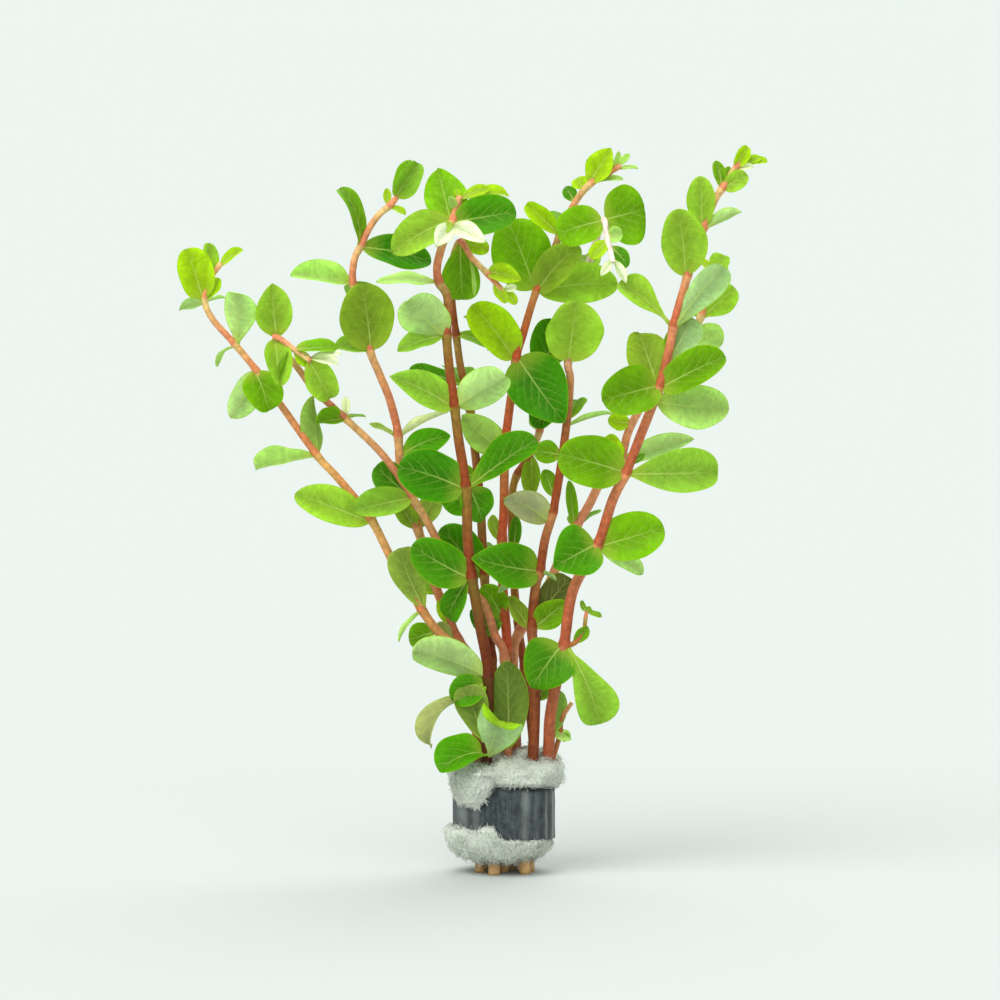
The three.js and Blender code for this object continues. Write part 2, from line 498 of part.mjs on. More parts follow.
// Radius of the strip's outer face: squashed a little, and drawn in where it passes
// under its own outer end.
function stripRadius(turned) {
  const squash = 0.25 * Math.cos(radians(2 * turned - 40));
  const under = THREE.MathUtils.smoothstep(turned, 312, 356) * (STRIP_THICK + GAP);
  return STRIP_RADIUS + squash - under;
}

function stripSolid(extra) {
  const steps = 36; // ten degrees or so to a facet
  const flat = new THREE.BoxGeometry(1, 1, 1, steps, 1, 1);
  reshape(flat, ({ x, y, z }) => {
    const end = Math.abs(x) > 0.499 ? Math.sign(x) : 0;
    const turned = (x + 0.5) * STRIP_TURN + end * THREE.MathUtils.radToDeg(extra / STRIP_RADIUS);
    const angle = radians(STRIP_START_DEG + turned);
    const radius = stripRadius(turned) + (z - 0.5) * STRIP_THICK + 2 * z * extra;
    const height = stripBottom(turned) + (y + 0.5) * STRIP_WIDTH + 2 * y * extra;
    return { x: STRIP_CENTRE_X + radius * Math.cos(angle), y: radius * Math.sin(angle), z: height };
  });
  return solidOf(flat);
}

// How far a point of the floss surface stands proud: soft lumps round the plug.
function lump(angle, z) {
  return (
    0.35 * Math.sin(3 * angle + 0.5 * z) +
    0.25 * Math.sin(7 * angle - 0.8 * z + 1) +
    0.15 * Math.sin(11 * angle + 1.7 * z + 2)
  );
}

// Height of the floss's top face: higher at the back right, low at the front left.
const woolTop = (x, y) => WOOL_TOP + 0.11 * x + 0.1 * y + 0.3 * Math.sin(0.9 * x + 1) * Math.cos(0.8 * y);

// The floss plug: a skirt below the strip, a waist under it and a collar above it.
function woolPlug() {
  const inner = STRIP_RADIUS - 2 * STRIP_THICK - 3 * GAP;
  // Radius, height, and what the height follows: the ground, the strip's lower or upper
  // edge, or the top face.
  const profile = [
    [0, WOOL_BOTTOM, "ground"],
    [6.5, WOOL_BOTTOM, "ground"],
    [SKIRT_RADIUS - 1.4, WOOL_BOTTOM + 0.7, "ground"],
    [SKIRT_RADIUS, WOOL_BOTTOM + 2.6, "ground"],
    [SKIRT_RADIUS - 0.3, -0.9, "lower"],
    [inner, -GAP, "lower"],
    [inner, GAP, "upper"],
    [COLLAR_RADIUS - 0.8, 0.8, "upper"],
    [COLLAR_RADIUS, -2.6, "top"],
    [COLLAR_RADIUS - 1.2, -0.8, "top"],
    [8, 0, "top"],
    [0, 0, "top"],
  ];
  const rows = profile.length - 1;
  const points = profile.map(([r], row) => new THREE.Vector2(r, row));
  const lathe = new THREE.LatheGeometry(points, 22);
  reshape(lathe, ({ x, y, z }) => {
    const angle = Math.atan2(-z, x);
    const row = Math.round(y);
    const [r, height, follows] = profile[row];
    const bearing = THREE.MathUtils.radToDeg(angle) - STRIP_START_DEG;
    const turned = THREE.MathUtils.euclideanModulo(bearing, 360);
    const exposed = r > SKIRT_RADIUS - 1.6;
    const radius = r + (exposed ? lump(angle, 2 * row) : 0);
    const px = radius * Math.cos(angle);
    const py = radius * Math.sin(angle);
    const level = {
      ground: 0,
      lower: stripBottom(turned),
      upper: stripBottom(turned) + STRIP_WIDTH,
      top: woolTop(px, py),
    }[follows];
    return { x: px, y: py, z: level + height };
  });
  return solidOf(lathe);
}

// A tuft of the collar that hangs over the strip at the front left.
function woolTuft() {
  const ball = new THREE.SphereGeometry(1, 12, 8);
  const angle = radians(TUFT_BEARING_DEG);
  return solidOf(
    reshape(ball, ({ x, y, z }) => {
      const radius = STRIP_RADIUS + TUFT_HALF_DEPTH * z;
      const bearing = angle + TUFT_HALF_ARC * x;
      return {
        x: radius * Math.cos(bearing),
        y: radius * Math.sin(bearing),
        z: TUFT_MIDDLE + TUFT_HALF_HEIGHT * y * (1 - 0.25 * x),
      };
    }),
  );
}

const bunch = new THREE.Group();

const strip = stripSolid(0);
bunch.add(meshOf("lead_strip", geometryOf(strip), COLOURS.lead, 0.55, 0.8));

let wool = woolPlug();
if (wool.volume() < 0) throw new Error("the floss plug is inside out");
wool = wool.add(woolTuft());
wool = wool.subtract(stripSolid(GAP));
for (const stem of Object.values(STEMS)) wool = wool.subtract(stemSolid(stem, GAP));
for (const shoot of SIDE_SHOOTS) wool = wool.subtract(stemSolid(shoot, GAP));
bunch.add(meshOf("wool_plug", geometryOf(wool), COLOURS.wool, 0.95, 0));

for (const [letter, stem] of Object.entries(STEMS)) {
  let grown = stemSolid(stem);
  const shoots = letter === "b" ? SIDE_SHOOTS : [];
  for (const shoot of shoots) {
    grown = grown.add(stemSolid(shoot));
    for (const leaf of shoot.leaves) grown = grown.add(leafSolid(shoot, leaf, true));
  }
  let count = 0;
  for (const leaf of stem.leaves) {
    count += 1;
    const [, dx, dy, dz, width] = leaf;
    const large = Math.hypot(dx, dy, dz) * width > LARGE_LEAF_AREA;
    if (large) {
      const blade = geometryOf(leafSolid(stem, leaf, false));
      bunch.add(meshOf("leaf_" + letter + count, blade, COLOURS.leaf, 0.45, 0));
    } else {
      grown = grown.add(leafSolid(stem, leaf, true));
    }
  }
  bunch.add(meshOf("stem_" + letter, geometryOf(grown), COLOURS.stem, 0.5, 0));
}

export default bunch;
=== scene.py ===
# %% [markdown]
# # A bunch of dwarf rotala
# Ten cut stems of a small aquarium plant stand together as a shop sells them: their feet
# are wrapped in white floss, and a strip of soft lead is bent once round the floss as a
# weight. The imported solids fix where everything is. This script dresses them: each stem,
# each large leaf, the floss and the strip gets a finer mesh in the same place.

import math

import bpy
import numpy as np
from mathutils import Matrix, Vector, noise


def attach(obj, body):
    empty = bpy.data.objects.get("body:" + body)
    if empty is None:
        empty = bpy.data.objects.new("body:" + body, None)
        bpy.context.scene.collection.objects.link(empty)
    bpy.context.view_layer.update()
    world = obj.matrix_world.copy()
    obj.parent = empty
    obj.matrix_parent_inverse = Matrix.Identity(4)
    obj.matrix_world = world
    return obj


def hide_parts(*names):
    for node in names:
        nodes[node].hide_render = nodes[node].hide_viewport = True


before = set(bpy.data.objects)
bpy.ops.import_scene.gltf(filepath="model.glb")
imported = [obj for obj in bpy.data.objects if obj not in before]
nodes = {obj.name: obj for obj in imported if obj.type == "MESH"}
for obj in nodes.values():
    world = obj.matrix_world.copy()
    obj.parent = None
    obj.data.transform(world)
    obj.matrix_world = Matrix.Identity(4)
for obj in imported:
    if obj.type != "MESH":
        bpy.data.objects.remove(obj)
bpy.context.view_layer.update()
MM = 0.001
rng = np.random.default_rng(7)

# %% [markdown]
# ## The plant, written down
# A stem plant grows by repeating one unit: a stretch of stem, a node, and a pair of
# leaves. So the whole bunch can be written as routes and leaf rows, read off the
# photograph, and the meshes are worked out from them. Each stem has its radius at the
# cut end and at the tip (mm), two colours (just above a node and just below the next
# one), the points its axis passes through, which of them are nodes, and its leaves. Two
# stems also say how much painted shade darkens their lowest part ("lowest"), and one
# has pale colours of its own near the tip ("young").
# A leaf row is: the route point it grows from; the way to its tip; its width; the way its
# upper face looks; how far it bends along its length and folds about its midrib
# (degrees); and up to three words, for its tone, for its outline (oval where none is
# said) and for its habit (flat where none is said). The rows come in the order of the
# solids' names.

# %% The stems and their leaves
STEMS = {
    "a": {
        "radii": (1.3, 0.8),
        "colours": ("#8c4020", "#826a28"),
        "lowest": 0.25,
        "route": [
            (-2, -5.5, 0), (-2, -5.5, 4), (-3, -5.5, 13), (-3.6, -5.4, 25.6),
            (-3.3, -5, 44.5), (-5.1, -5.5, 55.8), (-6.9, -6.5, 66.5), (-7.8, -7, 74.8),
            (-8.2, -8, 86.5), (-9.8, -9, 97.3), (-10.7, -9.5, 104.7), (-11.8, -10, 113),
            (-12.4, -10, 120.4), (-12.2, -10.2, 128.6), (-14.1, -10.5, 132.2),
            (-14.4, -10.5, 136.2), (-12.4, -10, 143), (-11.1, -10, 145.5), (-9.5, -9, 151),
        ],
        "nodes": (4, 6, 8, 10, 12, 14, 17),
        "leaves": [
            (3.1, (-10.6, -5.4, -3.4), 11, (-0.25, -0.75, 0.6), 60, 12, "vivid round"),
            (3.05, (3.6, -7.4, 10.8), 11.4, (0.1, 1, -0.2), 15, 6, "turned blunt hood"),
            (3.25, (-4.6, -1.5, 12.4), 7.7, (-0.3, -1, 0.1), 8, -10, "moss blunt"),
            (4, (-17, -5, 6.3), 9.6, (0, 1, 0.35), 10, 10, "pale oval"),
            (3.9, (-8.2, -1, -3.8), 8.3, (-0.1, -0.9, 0.5), 15, 5, "dark"),
            (6, (-13.2, -4, 7.4), 10, (-0.1, -1, 0.3), 12, 5, "dark round"),
            (6, (-5.6, 2.5, -9.5), 6.6, (-0.5, -0.9, 0.2), 15, 10, "dark blunt"),
            (8, (-14.8, -5, 5.2), 12, (0, -1, 0.3), 15, 8, "deep round"),
            (8, (15.6, -3, 11), 9.8, (-0.1, -0.8, 0.6), 15, 20, "dark spoon"),
            (8, (3.6, 2.5, -8), 8, (0.2, -1, 0), 10, 0, "dark egg"),
            (10, (-14.2, -4, 7), 8.6, (-0.1, -0.9, 0.5), 20, 8, "fresh egg"),
            (10, (11.6, -3, 6.9), 9.6, (0, 1, 0.3), 10, 5, "pale round"),
            (12, (-9, -5, 8.2), 10.4, (0.2, 1, 0.2), 5, 0, "pale round"),
            (12, (-11, -0.5, -3.4), 6.4, (0, -0.8, 0.6), 15, 15, "fresh almond"),
            (14, (-13.8, -2, 0.4), 6, (0, -0.45, 1), 25, 0, "pale almond"),
            (17, (-13, -9, -6.3), 9.6, (0, -0.9, 0.5), 15, 5, "bright"),
            (17, (14, -3.5, 2.2), 9.6, (0, -1, 0.25), 12, 8, "dark round"),
            (17, (-3.4, 6, 11.4), 9.6, (0, -1, 0.15), 10, 0, "lush egg"),
            (18, (11, 2, 0.4), 4.8, (0, -0.6, 0.9), 20, 10, "lime"),
            (18, (6.5, 0.5, 1.8), 3.4, (0, -0.7, 0.8), 15, 0, "lime"),
            (17.5, (-1.4, -1.5, 3), 2.4, (0, -1, 0.2), 20, 20, "pale"),
            (18, (-0.6, -0.6, 1.6), 1.6, (0, -1, 0), 10, 0, "lime"),
            (16.8, (-3.2, -9, -4.2), 4.4, (0.2, -0.9, 0.5), 15, 5, "white almond"),
            (16.8, (7.4, -8, -3.4), 4.8, (-0.1, -0.9, 0.5), 15, 5, "white almond"),
        ],
    },
    "b": {
        "radii": (1.35, 0.7),
        "colours": ("#ac5838", "#c68258"),
        "route": [
            (5.6, -0.3, 0), (5.6, -0.3, 4), (7.8, -1, 14), (10, -2.2, 26.5), (10.4, -4, 34.5),
            (11.5, -5, 41.3), (13.5, -6, 51.3), (15.5, -7, 63.7), (20.9, -8.5, 73.9),
            (24.2, -9.5, 84), (27.1, -10, 90), (30.4, -10, 98.5), (34.4, -10, 109),
            (36.6, -9.5, 117.4), (37.5, -9, 122.3), (38.9, -8.5, 127.4), (40.6, -8, 133.3),
            (43.1, -7, 141.7), (44.2, -6.8, 143.8), (46.4, -6.5, 149.5), (48.4, -6, 152.7),
            (51.5, -5.5, 157.2), (53.7, -5, 158.7),
        ],
        "nodes": (6, 8, 10, 12, 14, 16, 18, 20, 21),
        "leaves": [
            (3.5, (2.6, 4, 9.5), 4.6, (0.3, 1, 0), 15, 0, "mid"),
            (3.5, (5, 3, -0.5), 3.2, (0, -0.8, 0.6), 20, 0, "pale"),
            (6, (-7.2, -3, -9.2), 12.6, (0, -1, 0.3), 25, 5, "dark egg"),
            (6, (8, -5, -17), 10.4, (0.3, -1, 0.4), 50, 8, "fresh paddle"),
            (8, (-9.8, -6, -4.4), 12.6, (0, -1, 0.35), 15, 5, "dark egg"),
            (8, (14.6, -2.5, 4.2), 11.2, (0, -1, 0.25), 12, 6, "lush round"),
            (8, (10.2, 4.5, -6.7), 5, (0.2, 1, 0.3), 20, 0, "pale"),
            (10, (-14.8, -5, 4.6), 12.2, (0, -1, 0.2), 12, 6, "mid round"),
            (10, (20.2, -3, 0.4), 10.8, (0, -1, 0.4), 14, 6, "fresh spoon"),
            (12, (-12.6, -7.5, -2.4), 12, (0, -1, 0.35), 25, 5, "mid round"),
            (12, (-4.4, 6, 11.8), 10, (0.1, -1, 0.1), 12, 0, "olive round"),
            (12, (14.4, -4, 7), 9.6, (0, -1, 0.45), 14, 8, "mid round"),
            (11.7, (16.6, 2, -1.8), 10.2, (0, -1, 0.3), 12, 4, "pale"),
            (12.7, (5.5, 2.6, 9), 8, (0.2, 1, 0), 10, 0, "sage blunt"),
            (14, (-11.8, 1, 10), 7.6, (0, -0.75, 0.7), 20, 8, "bright paddle"),
            (14, (11.2, -5, 13.5), 7.6, (0.3, 1, -0.1), 14, 5, "sage spoon"),
            (16, (-2.2, -4, 15), 10.8, (0, -1, 0.1), 14, 5, "bright"),
            (18, (-0.8, -1, 11.6), 6.6, (0, -1, 0.1), 12, 5, "bright"),
            (18, (8.4, -2.5, 4), 4.2, (0, 0.8, 0.6), 15, 25, "pale almond"),
            (20, (-1.6, 0.3, 6), 3, (0, -1, 0.1), 15, 5, "mid"),
            (20, (5.4, -1, 3), 4.6, (0.2, -1, 0.3), 15, 10, "bright round"),
            (21, (2.4, 0, 4.6), 4, (0.2, -1, 0.2), 20, 25, "lime round"),
            (22, (4.6, 0, -0.2), 2.6, (0, -0.8, 0.6), 15, 15, "lime"),
            (10.3, (3.2, 0, 2), 1.9, (0, -1, 0.3), 15, 20, "dark"),
            (13.8, (-1.4, 1.5, -3.6), 2.4, (-0.8, -0.6, 0.2), 15, 0, "mid"),
            (20, (1.6, 1.2, 4.6), 2.8, (0, -1, 0), 15, 0, "mid"),
            (22, (3.2, 0, 0.6), 2.4, (0, -0.8, 0.6), 15, 15, "lime"),
            (21, (3.6, -0.8, 0.2), 2, (0.2, -0.8, 0.6), 15, 10, "white"),
        ],
    },
    "c": {
        "radii": (1.3, 0.6),
        "colours": ("#9a4a26", "#bc8250"),
        "young": ("#f2dcd0", "#f6f0e6"),
        "lowest": 0.5,
        "route": [
            (4.8, -4.2, 0), (4.8, -4.2, 4), (5.8, -4.3, 14), (6.7, -4.2, 27.3),
            (7.1, -3, 38.7), (7.1, -2, 47.6), (6.4, -1, 54.8), (7.3, -0.5, 64.3),
            (8.2, 0, 67.2), (9.3, 0, 74.2), (11.1, 0, 80.5), (12.7, 0, 89.8), (14.2, 0, 101),
            (14.9, 0, 110), (14.4, -0.5, 113.9), (16, 4.6, 123.4), (18.2, 5.4, 132.4),
            (20.9, 2, 141.4), (22.2, -5, 145.5), (23.1, -8, 141.1), (24.2, -10.5, 136.5),
        ],
        "nodes": (6, 8, 10, 14, 18),
        "leaves": [
            (4, (2.6, 4, 3), 4, (0, -1, 0.2), 15, 0, "mid"),
            (6, (8.5, 2.5, 11), 7.2, (0.2, 1, 0), 12, 5, "dusk blunt"),
            (6, (7.8, -1, 6), 6.8, (0.1, -1, 0.3), 12, 5, "mid almond"),
            (6, (-5.2, -1, 7), 4.6, (0.6, -0.8, 0), 12, 5, "olive"),
            (8, (-15, -9.5, 4), 11.2, (0, -1, 0.45), 15, 8, "dark egg"),
            (8, (-9.6, -3, -4.4), 3.6, (0, 0.6, 0.8), 15, 0, "sage"),
            (9.7, (-10.6, -4, 5.6), 8, (-0.4, 0.8, 0.7), 60, 0, "rosy egg"),
            (10.4, (-2.6, 1, 6), 3.6, (0, -1, 0), 15, 0, "mid"),
            (11.3, (-6.4, -1, 1), 5.4, (0, -1, 0.3), 15, 5, "mid"),
            (11.9, (10.4, 3, 2.6), 3.6, (0, 0.5, 0.9), 10, 0, "pale"),
            (14, (1.8, -3.5, 13.6), 13.2, (0.15, -1, 0.1), 12, 6, "bright round"),
            (18, (-10.4, -3, -3), 9.2, (0.1, -1, 0.2), 15, 5, "lush round"),
            (18, (9.2, 1, 2.4), 14, (0, -1, 0.1), 12, 5, "mid round"),
            (19.3, (4, -1, -4.4), 3.8, (0.5, -0.9, 0), 20, 10, "dark"),
            (20, (3, -1.5, -4.6), 2.8, (0.6, 0.8, 0.3), 15, 0, "white almond"),
            (19, (-4, -1.5, -3.8), 3.8, (-0.3, -1, 0.2), 15, 5, "lime"),
            (16, (0.5, 8, 5), 8, (0, 0.4, 1), 20, 5, "bright"),
            (12, (2.5, 8.5, 4), 7, (0, 0.3, 1), 20, 5, "mid"),
            (8, (3.8, -2, -1.8), 2.6, (0, 0.6, 0.8), 15, 0, "sage"),
            (18.8, (3.4, -1, 0.6), 4.4, (0, -1, 0.2), 20, 10, "pale"),
            (20, (-2.8, -1, -3), 2.2, (-0.3, -1, 0.2), 15, 5, "white almond"),
        ],
    },
    "d": {
        "radii": (1.2, 0.65),
        "colours": ("#b4502e", "#b47a44"),
        "route": [
            (1.8, 2.2, 0), (1.8, 2.2, 4), (2, 2.2, 14), (2, 2.2, 26.5), (1, 2.3, 49.5),
            (0, 2.7, 62.8), (-0.2, 3, 73.9), (0.2, 3, 80.7), (0.4, 3, 94), (1.1, 3, 100.7),
            (2, 3, 107.4), (2.9, 3, 114.5), (4.4, 3, 119.6), (6, 3, 125.2), (7.5, 2.8, 129.7),
            (9.3, 2.5, 133.1), (12.6, 2, 142), (16, 1.5, 149.2), (19.3, 1, 153.2),
            (22.6, 0.8, 155.3), (26, 0.5, 157.3),
        ],
        "nodes": (4, 6, 8, 11, 14, 16, 18, 19),
        "leaves": [
            (4.5, (-5, -0.9, 7), 7, (-0.2, -1, 0.1), 15, 0, "mid"),
            (4.5, (-6.2, 0.3, -2.8), 6, (0, -0.9, 0.4), 15, 0, "dark"),
            (6, (-2.4, 1.5, 5.6), 3, (-0.2, -1, 0), 10, 0, "olive"),
            (8, (-9.6, -2, 8), 8.2, (0, 1, 0.2), 12, 5, "bright egg"),
            (8, (7, 6, 1.5), 7, (0, -0.6, 0.8), 15, 5, "mid"),
            (11, (-9.8, -3, 12), 10.6, (0.1, -1, 0.3), 12, 8, "lime round"),
            (11, (10.6, -7.5, -13.8), 13.6, (-0.1, -1, 0.25), 15, 8, "deep egg"),
            (12, (-13.2, 5, 4), 5, (0, -0.6, 0.8), 15, 5, "pale almond"),
            (14, (-6.4, -2.5, 15.6), 13.6, (0, -1, 0.15), 12, 6, "lush round"),
            (14, (18, -0.5, 1.4), 9.4, (0, -0.95, 0.25), 15, 6, "bright"),
            (14, (9.2, -6, 10), 8.6, (-0.2, -1, 0.2), 15, 6, "olive round"),
            (16, (-7.4, 2, 6.6), 6.6, (-0.2, -0.9, 0.4), 30, 35, "lime"),
            (18, (4.6, -1, 8), 6.4, (-0.2, -1, 0.2), 15, 10, "lime almond"),
            (16, (1, 9.5, 4), 8.5, (0, 0.4, 1), 20, 5, "mid"),
            (10, (0.5, 9.5, 3), 8, (0, 0.4, 1), 20, 5, "mid"),
            (11, (-6.4, 1, 2.2), 2.2, (0, 0.6, 0.8), 10, 0, "sage"),
            (17, (-2.2, 1, 3.4), 3.2, (0, -1, 0.2), 20, 0, "dark"),
            (17.6, (-1.6, 1.5, 2.6), 4.2, (0, -1, 0.4), 15, 0, "lime"),
            (18.4, (6, -1, 0.4), 2.4, (0, -0.5, 0.9), 12, 0, "pale"),
            (19.6, (1, -0.5, 4), 1.6, (0.5, -0.8, 0), 10, 0, "pale"),
            (20, (2, -0.4, 2.6), 1.6, (0.3, -0.9, 0.2), 10, 0, "pale"),
            (20, (4, 0, -0.4), 1.8, (0, -0.5, 0.9), 10, 0, "pale"),
        ],
    },
    "e": {
        "radii": (1.15, 0.6),
        "colours": ("#c47a4c", "#cfa25c"),
        "route": [
            (-5.1, -1.8, 0), (-5.1, -1.8, 4), (-5.1, -1.8, 14), (-5.3, -1.8, 27),
            (-7.5, -2, 39), (-10.7, -2.5, 49.9), (-14.6, -3, 54.2), (-18, -3.5, 59),
            (-24, -4, 69), (-29.1, -4, 79), (-34, -4, 85.3), (-37.3, -4.2, 89.2),
            (-41.3, -4.5, 93.6), (-48.4, -4.5, 103.6), (-54.4, -4.5, 112.1),
            (-59.1, -4.5, 117.9), (-64.2, -4.5, 123.7), (-65.9, -4.5, 128.1),
            (-64.6, -4.5, 132.6), (-62.2, -4.5, 136),
        ],
        "nodes": (7, 9, 12, 14, 15, 17),
        "leaves": [
            (4, (-9.2, -4, -10.2), 8.4, (-0.7, -0.5, 0.6), 110, 15, "rosy blunt"),
            (6, (-6.4, 3, -2.4), 6, (0, -0.8, 0.5), 15, 5, "mid"),
            (7, (-5, -3, 14), 8.4, (-0.4, 1, 0), 12, -20, "olive blunt"),
            (7, (-5.4, -2.5, -6.8), 3.4, (-0.8, -0.3, 0.6), 25, 0, "pale"),
            (9, (-17, -2.5, 6.2), 8.8, (0, -1, 0.25), 12, 8, "bright"),
            (9, (3, 9.5, 4), 8, (0, 0.4, 1), 20, 5, "fresh"),
            (12, (-13.5, -1.5, -3), 8, (0, -0.7, 0.7), 15, 38, "pale blunt"),
            (12, (-1, 3.2, 12.8), 8, (-0.75, 0.7, 0), 12, 5, "fresh almond"),
            (14, (-6, 3, -10.6), 7.6, (0.4, 1, 0.3), 25, 15, "pale"),
            (14, (2.8, -3, -8.6), 9.2, (0, -1, 0.35), 15, 5, "mid round"),
            (15, (0.8, -3.5, 12), 8.2, (0.25, 1, -0.1), 12, 10, "pale spoon"),
            (15, (-4.4, 2.5, -5), 3.6, (-0.5, 0.2, 1), 70, 0, "pale"),
            (16.8, (-5.8, -0.8, -1.4), 4.6, (0, 0.75, 1), 20, 5, "pale"),
            (17, (-3.8, -1.5, 11.2), 8.6, (0.15, -1, 0.1), 12, 6, "lime round"),
            (17.6, (0.6, 1.5, 9.6), 5, (0.6, -0.9, 0), 15, 10, "bright spoon"),
            (17, (3.2, 1.5, 4.6), 3.4, (-0.3, -1, 0.2), 12, 0, "lime"),
            (16.9, (4.6, 0.5, 0.9), 3.4, (0, 0.3, 1), 15, 0, "pale"),
            (19, (4.8, -0.6, 3.2), 2.8, (0.3, -0.8, 0.7), 15, 20, "lime"),
            (19, (3.6, 0.8, 3), 1.6, (0, -0.8, 0.5), 10, 0, "lime"),
        ],
    },
    "f": {
        "radii": (1.1, 0.6),
        "colours": ("#bc7450", "#cca266"),
        "route": [
            (0.2, -0.7, 0), (0.2, -0.7, 4), (0.8, -1.7, 14), (1.1, -2, 26), (0.4, -1, 47.5),
            (-1.8, 0, 53), (-4, 0.5, 59.7), (-7.3, 0.5, 63), (-11.3, 0, 67.5),
            (-16.2, -0.5, 77.2), (-20.2, -1, 83.9), (-26.6, -2, 93.3), (-35.1, -3, 101.7),
            (-41.7, -4.5, 108), (-45.1, -5.5, 112.6), (-50.2, -6.5, 119.4),
            (-48.6, -9, 119.2), (-45.7, -10.2, 117), (-42.2, -11.5, 114.9),
        ],
        "nodes": (4, 8, 10, 12, 15, 18),
        "leaves": [
            (3.1, (-0.3, -1.9, 20.2), 8.7, (0, 1, 0), 4, 0, "moss oval"),
            (10, (-12.6, -7, -2.4), 7.8, (0, -0.85, 0.5), 20, 8, "fresh"),
            (10, (-8.2, 2.5, 6.6), 8.2, (-0.2, -1, 0.2), 12, 5, "dark"),
            (12, (-6.4, -3.5, -1), 7.4, (0.2, -0.75, 0.55), 15, 32, "mid almond"),
            (12, (-3, 9, -1), 6.4, (0, 0.4, 1), 20, 5, "mid"),
            (15, (-0.4, -2, 12.4), 8.8, (0.1, -1, 0.15), 12, 6, "bright almond"),
            (15, (1.4, -6, -10), 8, (0, -0.9, 0.5), 15, 25, "bright"),
            (16.7, (-2.8, -2, -7.6), 3, (-0.9, -0.4, 0.3), 40, 0, "mid"),
            (17, (9.4, -1, 0.8), 5, (0, -0.6, 0.8), 15, 8, "lush round"),
            (18, (4.4, 1.5, -8.6), 7.6, (0.1, -1, 0.3), 15, 6, "bright round"),
            (18, (6.8, -1, 1.8), 2.6, (0, -0.5, 0.8), 12, 10, "white"),
            (18, (6, -2, -0.6), 3.4, (0, -0.7, 0.7), 15, 15, "white"),
            (12, (0.4, 1.5, 4.6), 2, (0, -1, 0), 10, 0, "white"),
            (12, (4.8, 0, 0.4), 2, (0, -0.3, 1), 10, 0, "mid"),
            (17, (3.2, 0.5, -3.4), 3.2, (0, -1, 0.2), 12, 0, "lime"),
        ],
    },
    "g": {
        "radii": (1.15, 0.65),
        "colours": ("#c47250", "#cc9c66"),
        "route": [
            (-3.6, 1.9, 0), (-3.6, 1.9, 4), (-3.2, 2, 14), (-2.9, 2.5, 26), (-6.2, 3.5, 45),
            (-10, 4, 51.5), (-12.7, 4, 57.8), (-15.8, 4, 65.6), (-19.1, 4, 76.7),
            (-21.8, 4, 83.8), (-22.9, 4, 89.9), (-23.3, 4, 97.2), (-24.2, 4, 101.7),
            (-25.5, 3.5, 106.2), (-27.8, 3, 111.8), (-29.5, 2.5, 116.3), (-31.7, 2, 127.4),
            (-33.3, 1.5, 131.3), (-32.9, 1, 136.5), (-31.5, 1, 139.4), (-29.5, 0.5, 143.6),
            (-27.3, 0, 146.6), (-25.1, 0, 148.4), (-23.3, 0, 150.6),
        ],
        "nodes": (5, 8, 11, 15, 17, 19, 22),
        "leaves": [
            (5.6, (-2.6, -1, 5.6), 3.2, (-0.2, -1, 0.2), 10, 0, "lime"),
            (6.6, (-4.8, 1, 4.6), 5.4, (0, -1, 0.2), 12, 0, "bright"),
            (8, (-4.4, -2, 6.2), 4.8, (-0.5, -0.8, 0.3), 12, 0, "olive"),
            (8, (-6, 1.2, 5.6), 2.2, (-0.3, -0.2, 1), 10, 0, "white"),
            (8, (4.4, 1.5, 7.6), 5.4, (0.2, 1, 0), 12, 0, "olive"),
            (8, (0, 9.5, 3), 8, (0, 0.4, 1), 20, 5, "mid"),
            (10.4, (11.4, 2, 4.2), 6.6, (0, -0.9, 0.4), 12, 5, "vivid almond"),
            (11, (-6.4, 0.5, 2.7), 3, (0, -0.2, 1), 15, 0, "olive"),
            (11, (10.9, 1.5, 5.4), 5, (0, 0.6, 1), 15, 0, "white almond"),
            (15, (1, 9.5, 4), 8, (0, 0.4, 1), 20, 5, "mid"),
            (15, (-1.8, -4, 15), 12.4, (0, -1, 0.1), 10, 5, "olive round"),
            (15, (-7.8, 1.5, 0.9), 6.2, (0, -0.65, 0.8), 12, 5, "fresh"),
            (17, (-13.8, -1.5, 2), 9, (0, -0.9, 0.5), 12, 32, "pale almond"),
            (17, (2.5, 8, -6.5), 7.6, (0, 0.7, 0.8), 20, 5, "mid"),
            (19, (-4.6, 1, 13), 7.4, (0.85, -0.55, 0.2), 65, 0, "mid spoon"),
            (19, (15.6, 2, -3.6), 8.6, (0, -0.9, 0.5), 12, 5, "deep"),
            (23, (4.4, -1.4, 7.4), 7.4, (0.4, -1, 0.1), 25, 35, "fresh round"),
            (23, (2.8, 1.2, 8), 4, (-0.5, -0.9, 0), 15, 10, "mid"),
            (5, (-4.6, -2, 4), 3.2, (0, -0.8, 0.6), 10, 0, "rosy"),
            (22, (-0.6, 0.4, 4), 1.9, (0, -1, 0), 10, 0, "lime"),
            (22, (3.7, -0.6, -1.8), 2.4, (0, -0.6, 0.8), 12, 10, "lime"),
        ],
    },
    "h": {
        "radii": (1.15, 0.6),
        "colours": ("#8a4424", "#9a7a3c"),
        "route": [
            (-2.2, 5.6, 0), (-2.2, 5.6, 4), (-2, 5.8, 14), (-1.5, 6, 26), (-2.5, 6.5, 47),
            (-4.2, 7, 65.8), (-5.1, 7, 82.5), (-6.4, 7, 94.8), (-7.3, 6.5, 102.6),
            (-8.4, 6, 108.2), (-9.5, 5.5, 112.7), (-10.4, 5, 119.5), (-11.3, 3, 127.4),
            (-11.3, 0, 135.5), (-9.5, -3, 140.7), (-6.9, -6, 137.2), (-3.6, -8, 134),
            (0.4, -9, 129.6),
        ],
        "nodes": (4, 5, 6, 8, 11, 14, 16),
        "leaves": [
            (4.4, (-4, -5, 3.4), 5.6, (0, -1, 0.3), 12, 5, "dark"),
            (5, (-9.4, -4.5, 11), 9.6, (0.2, -1, 0.3), 12, 5, "dark round"),
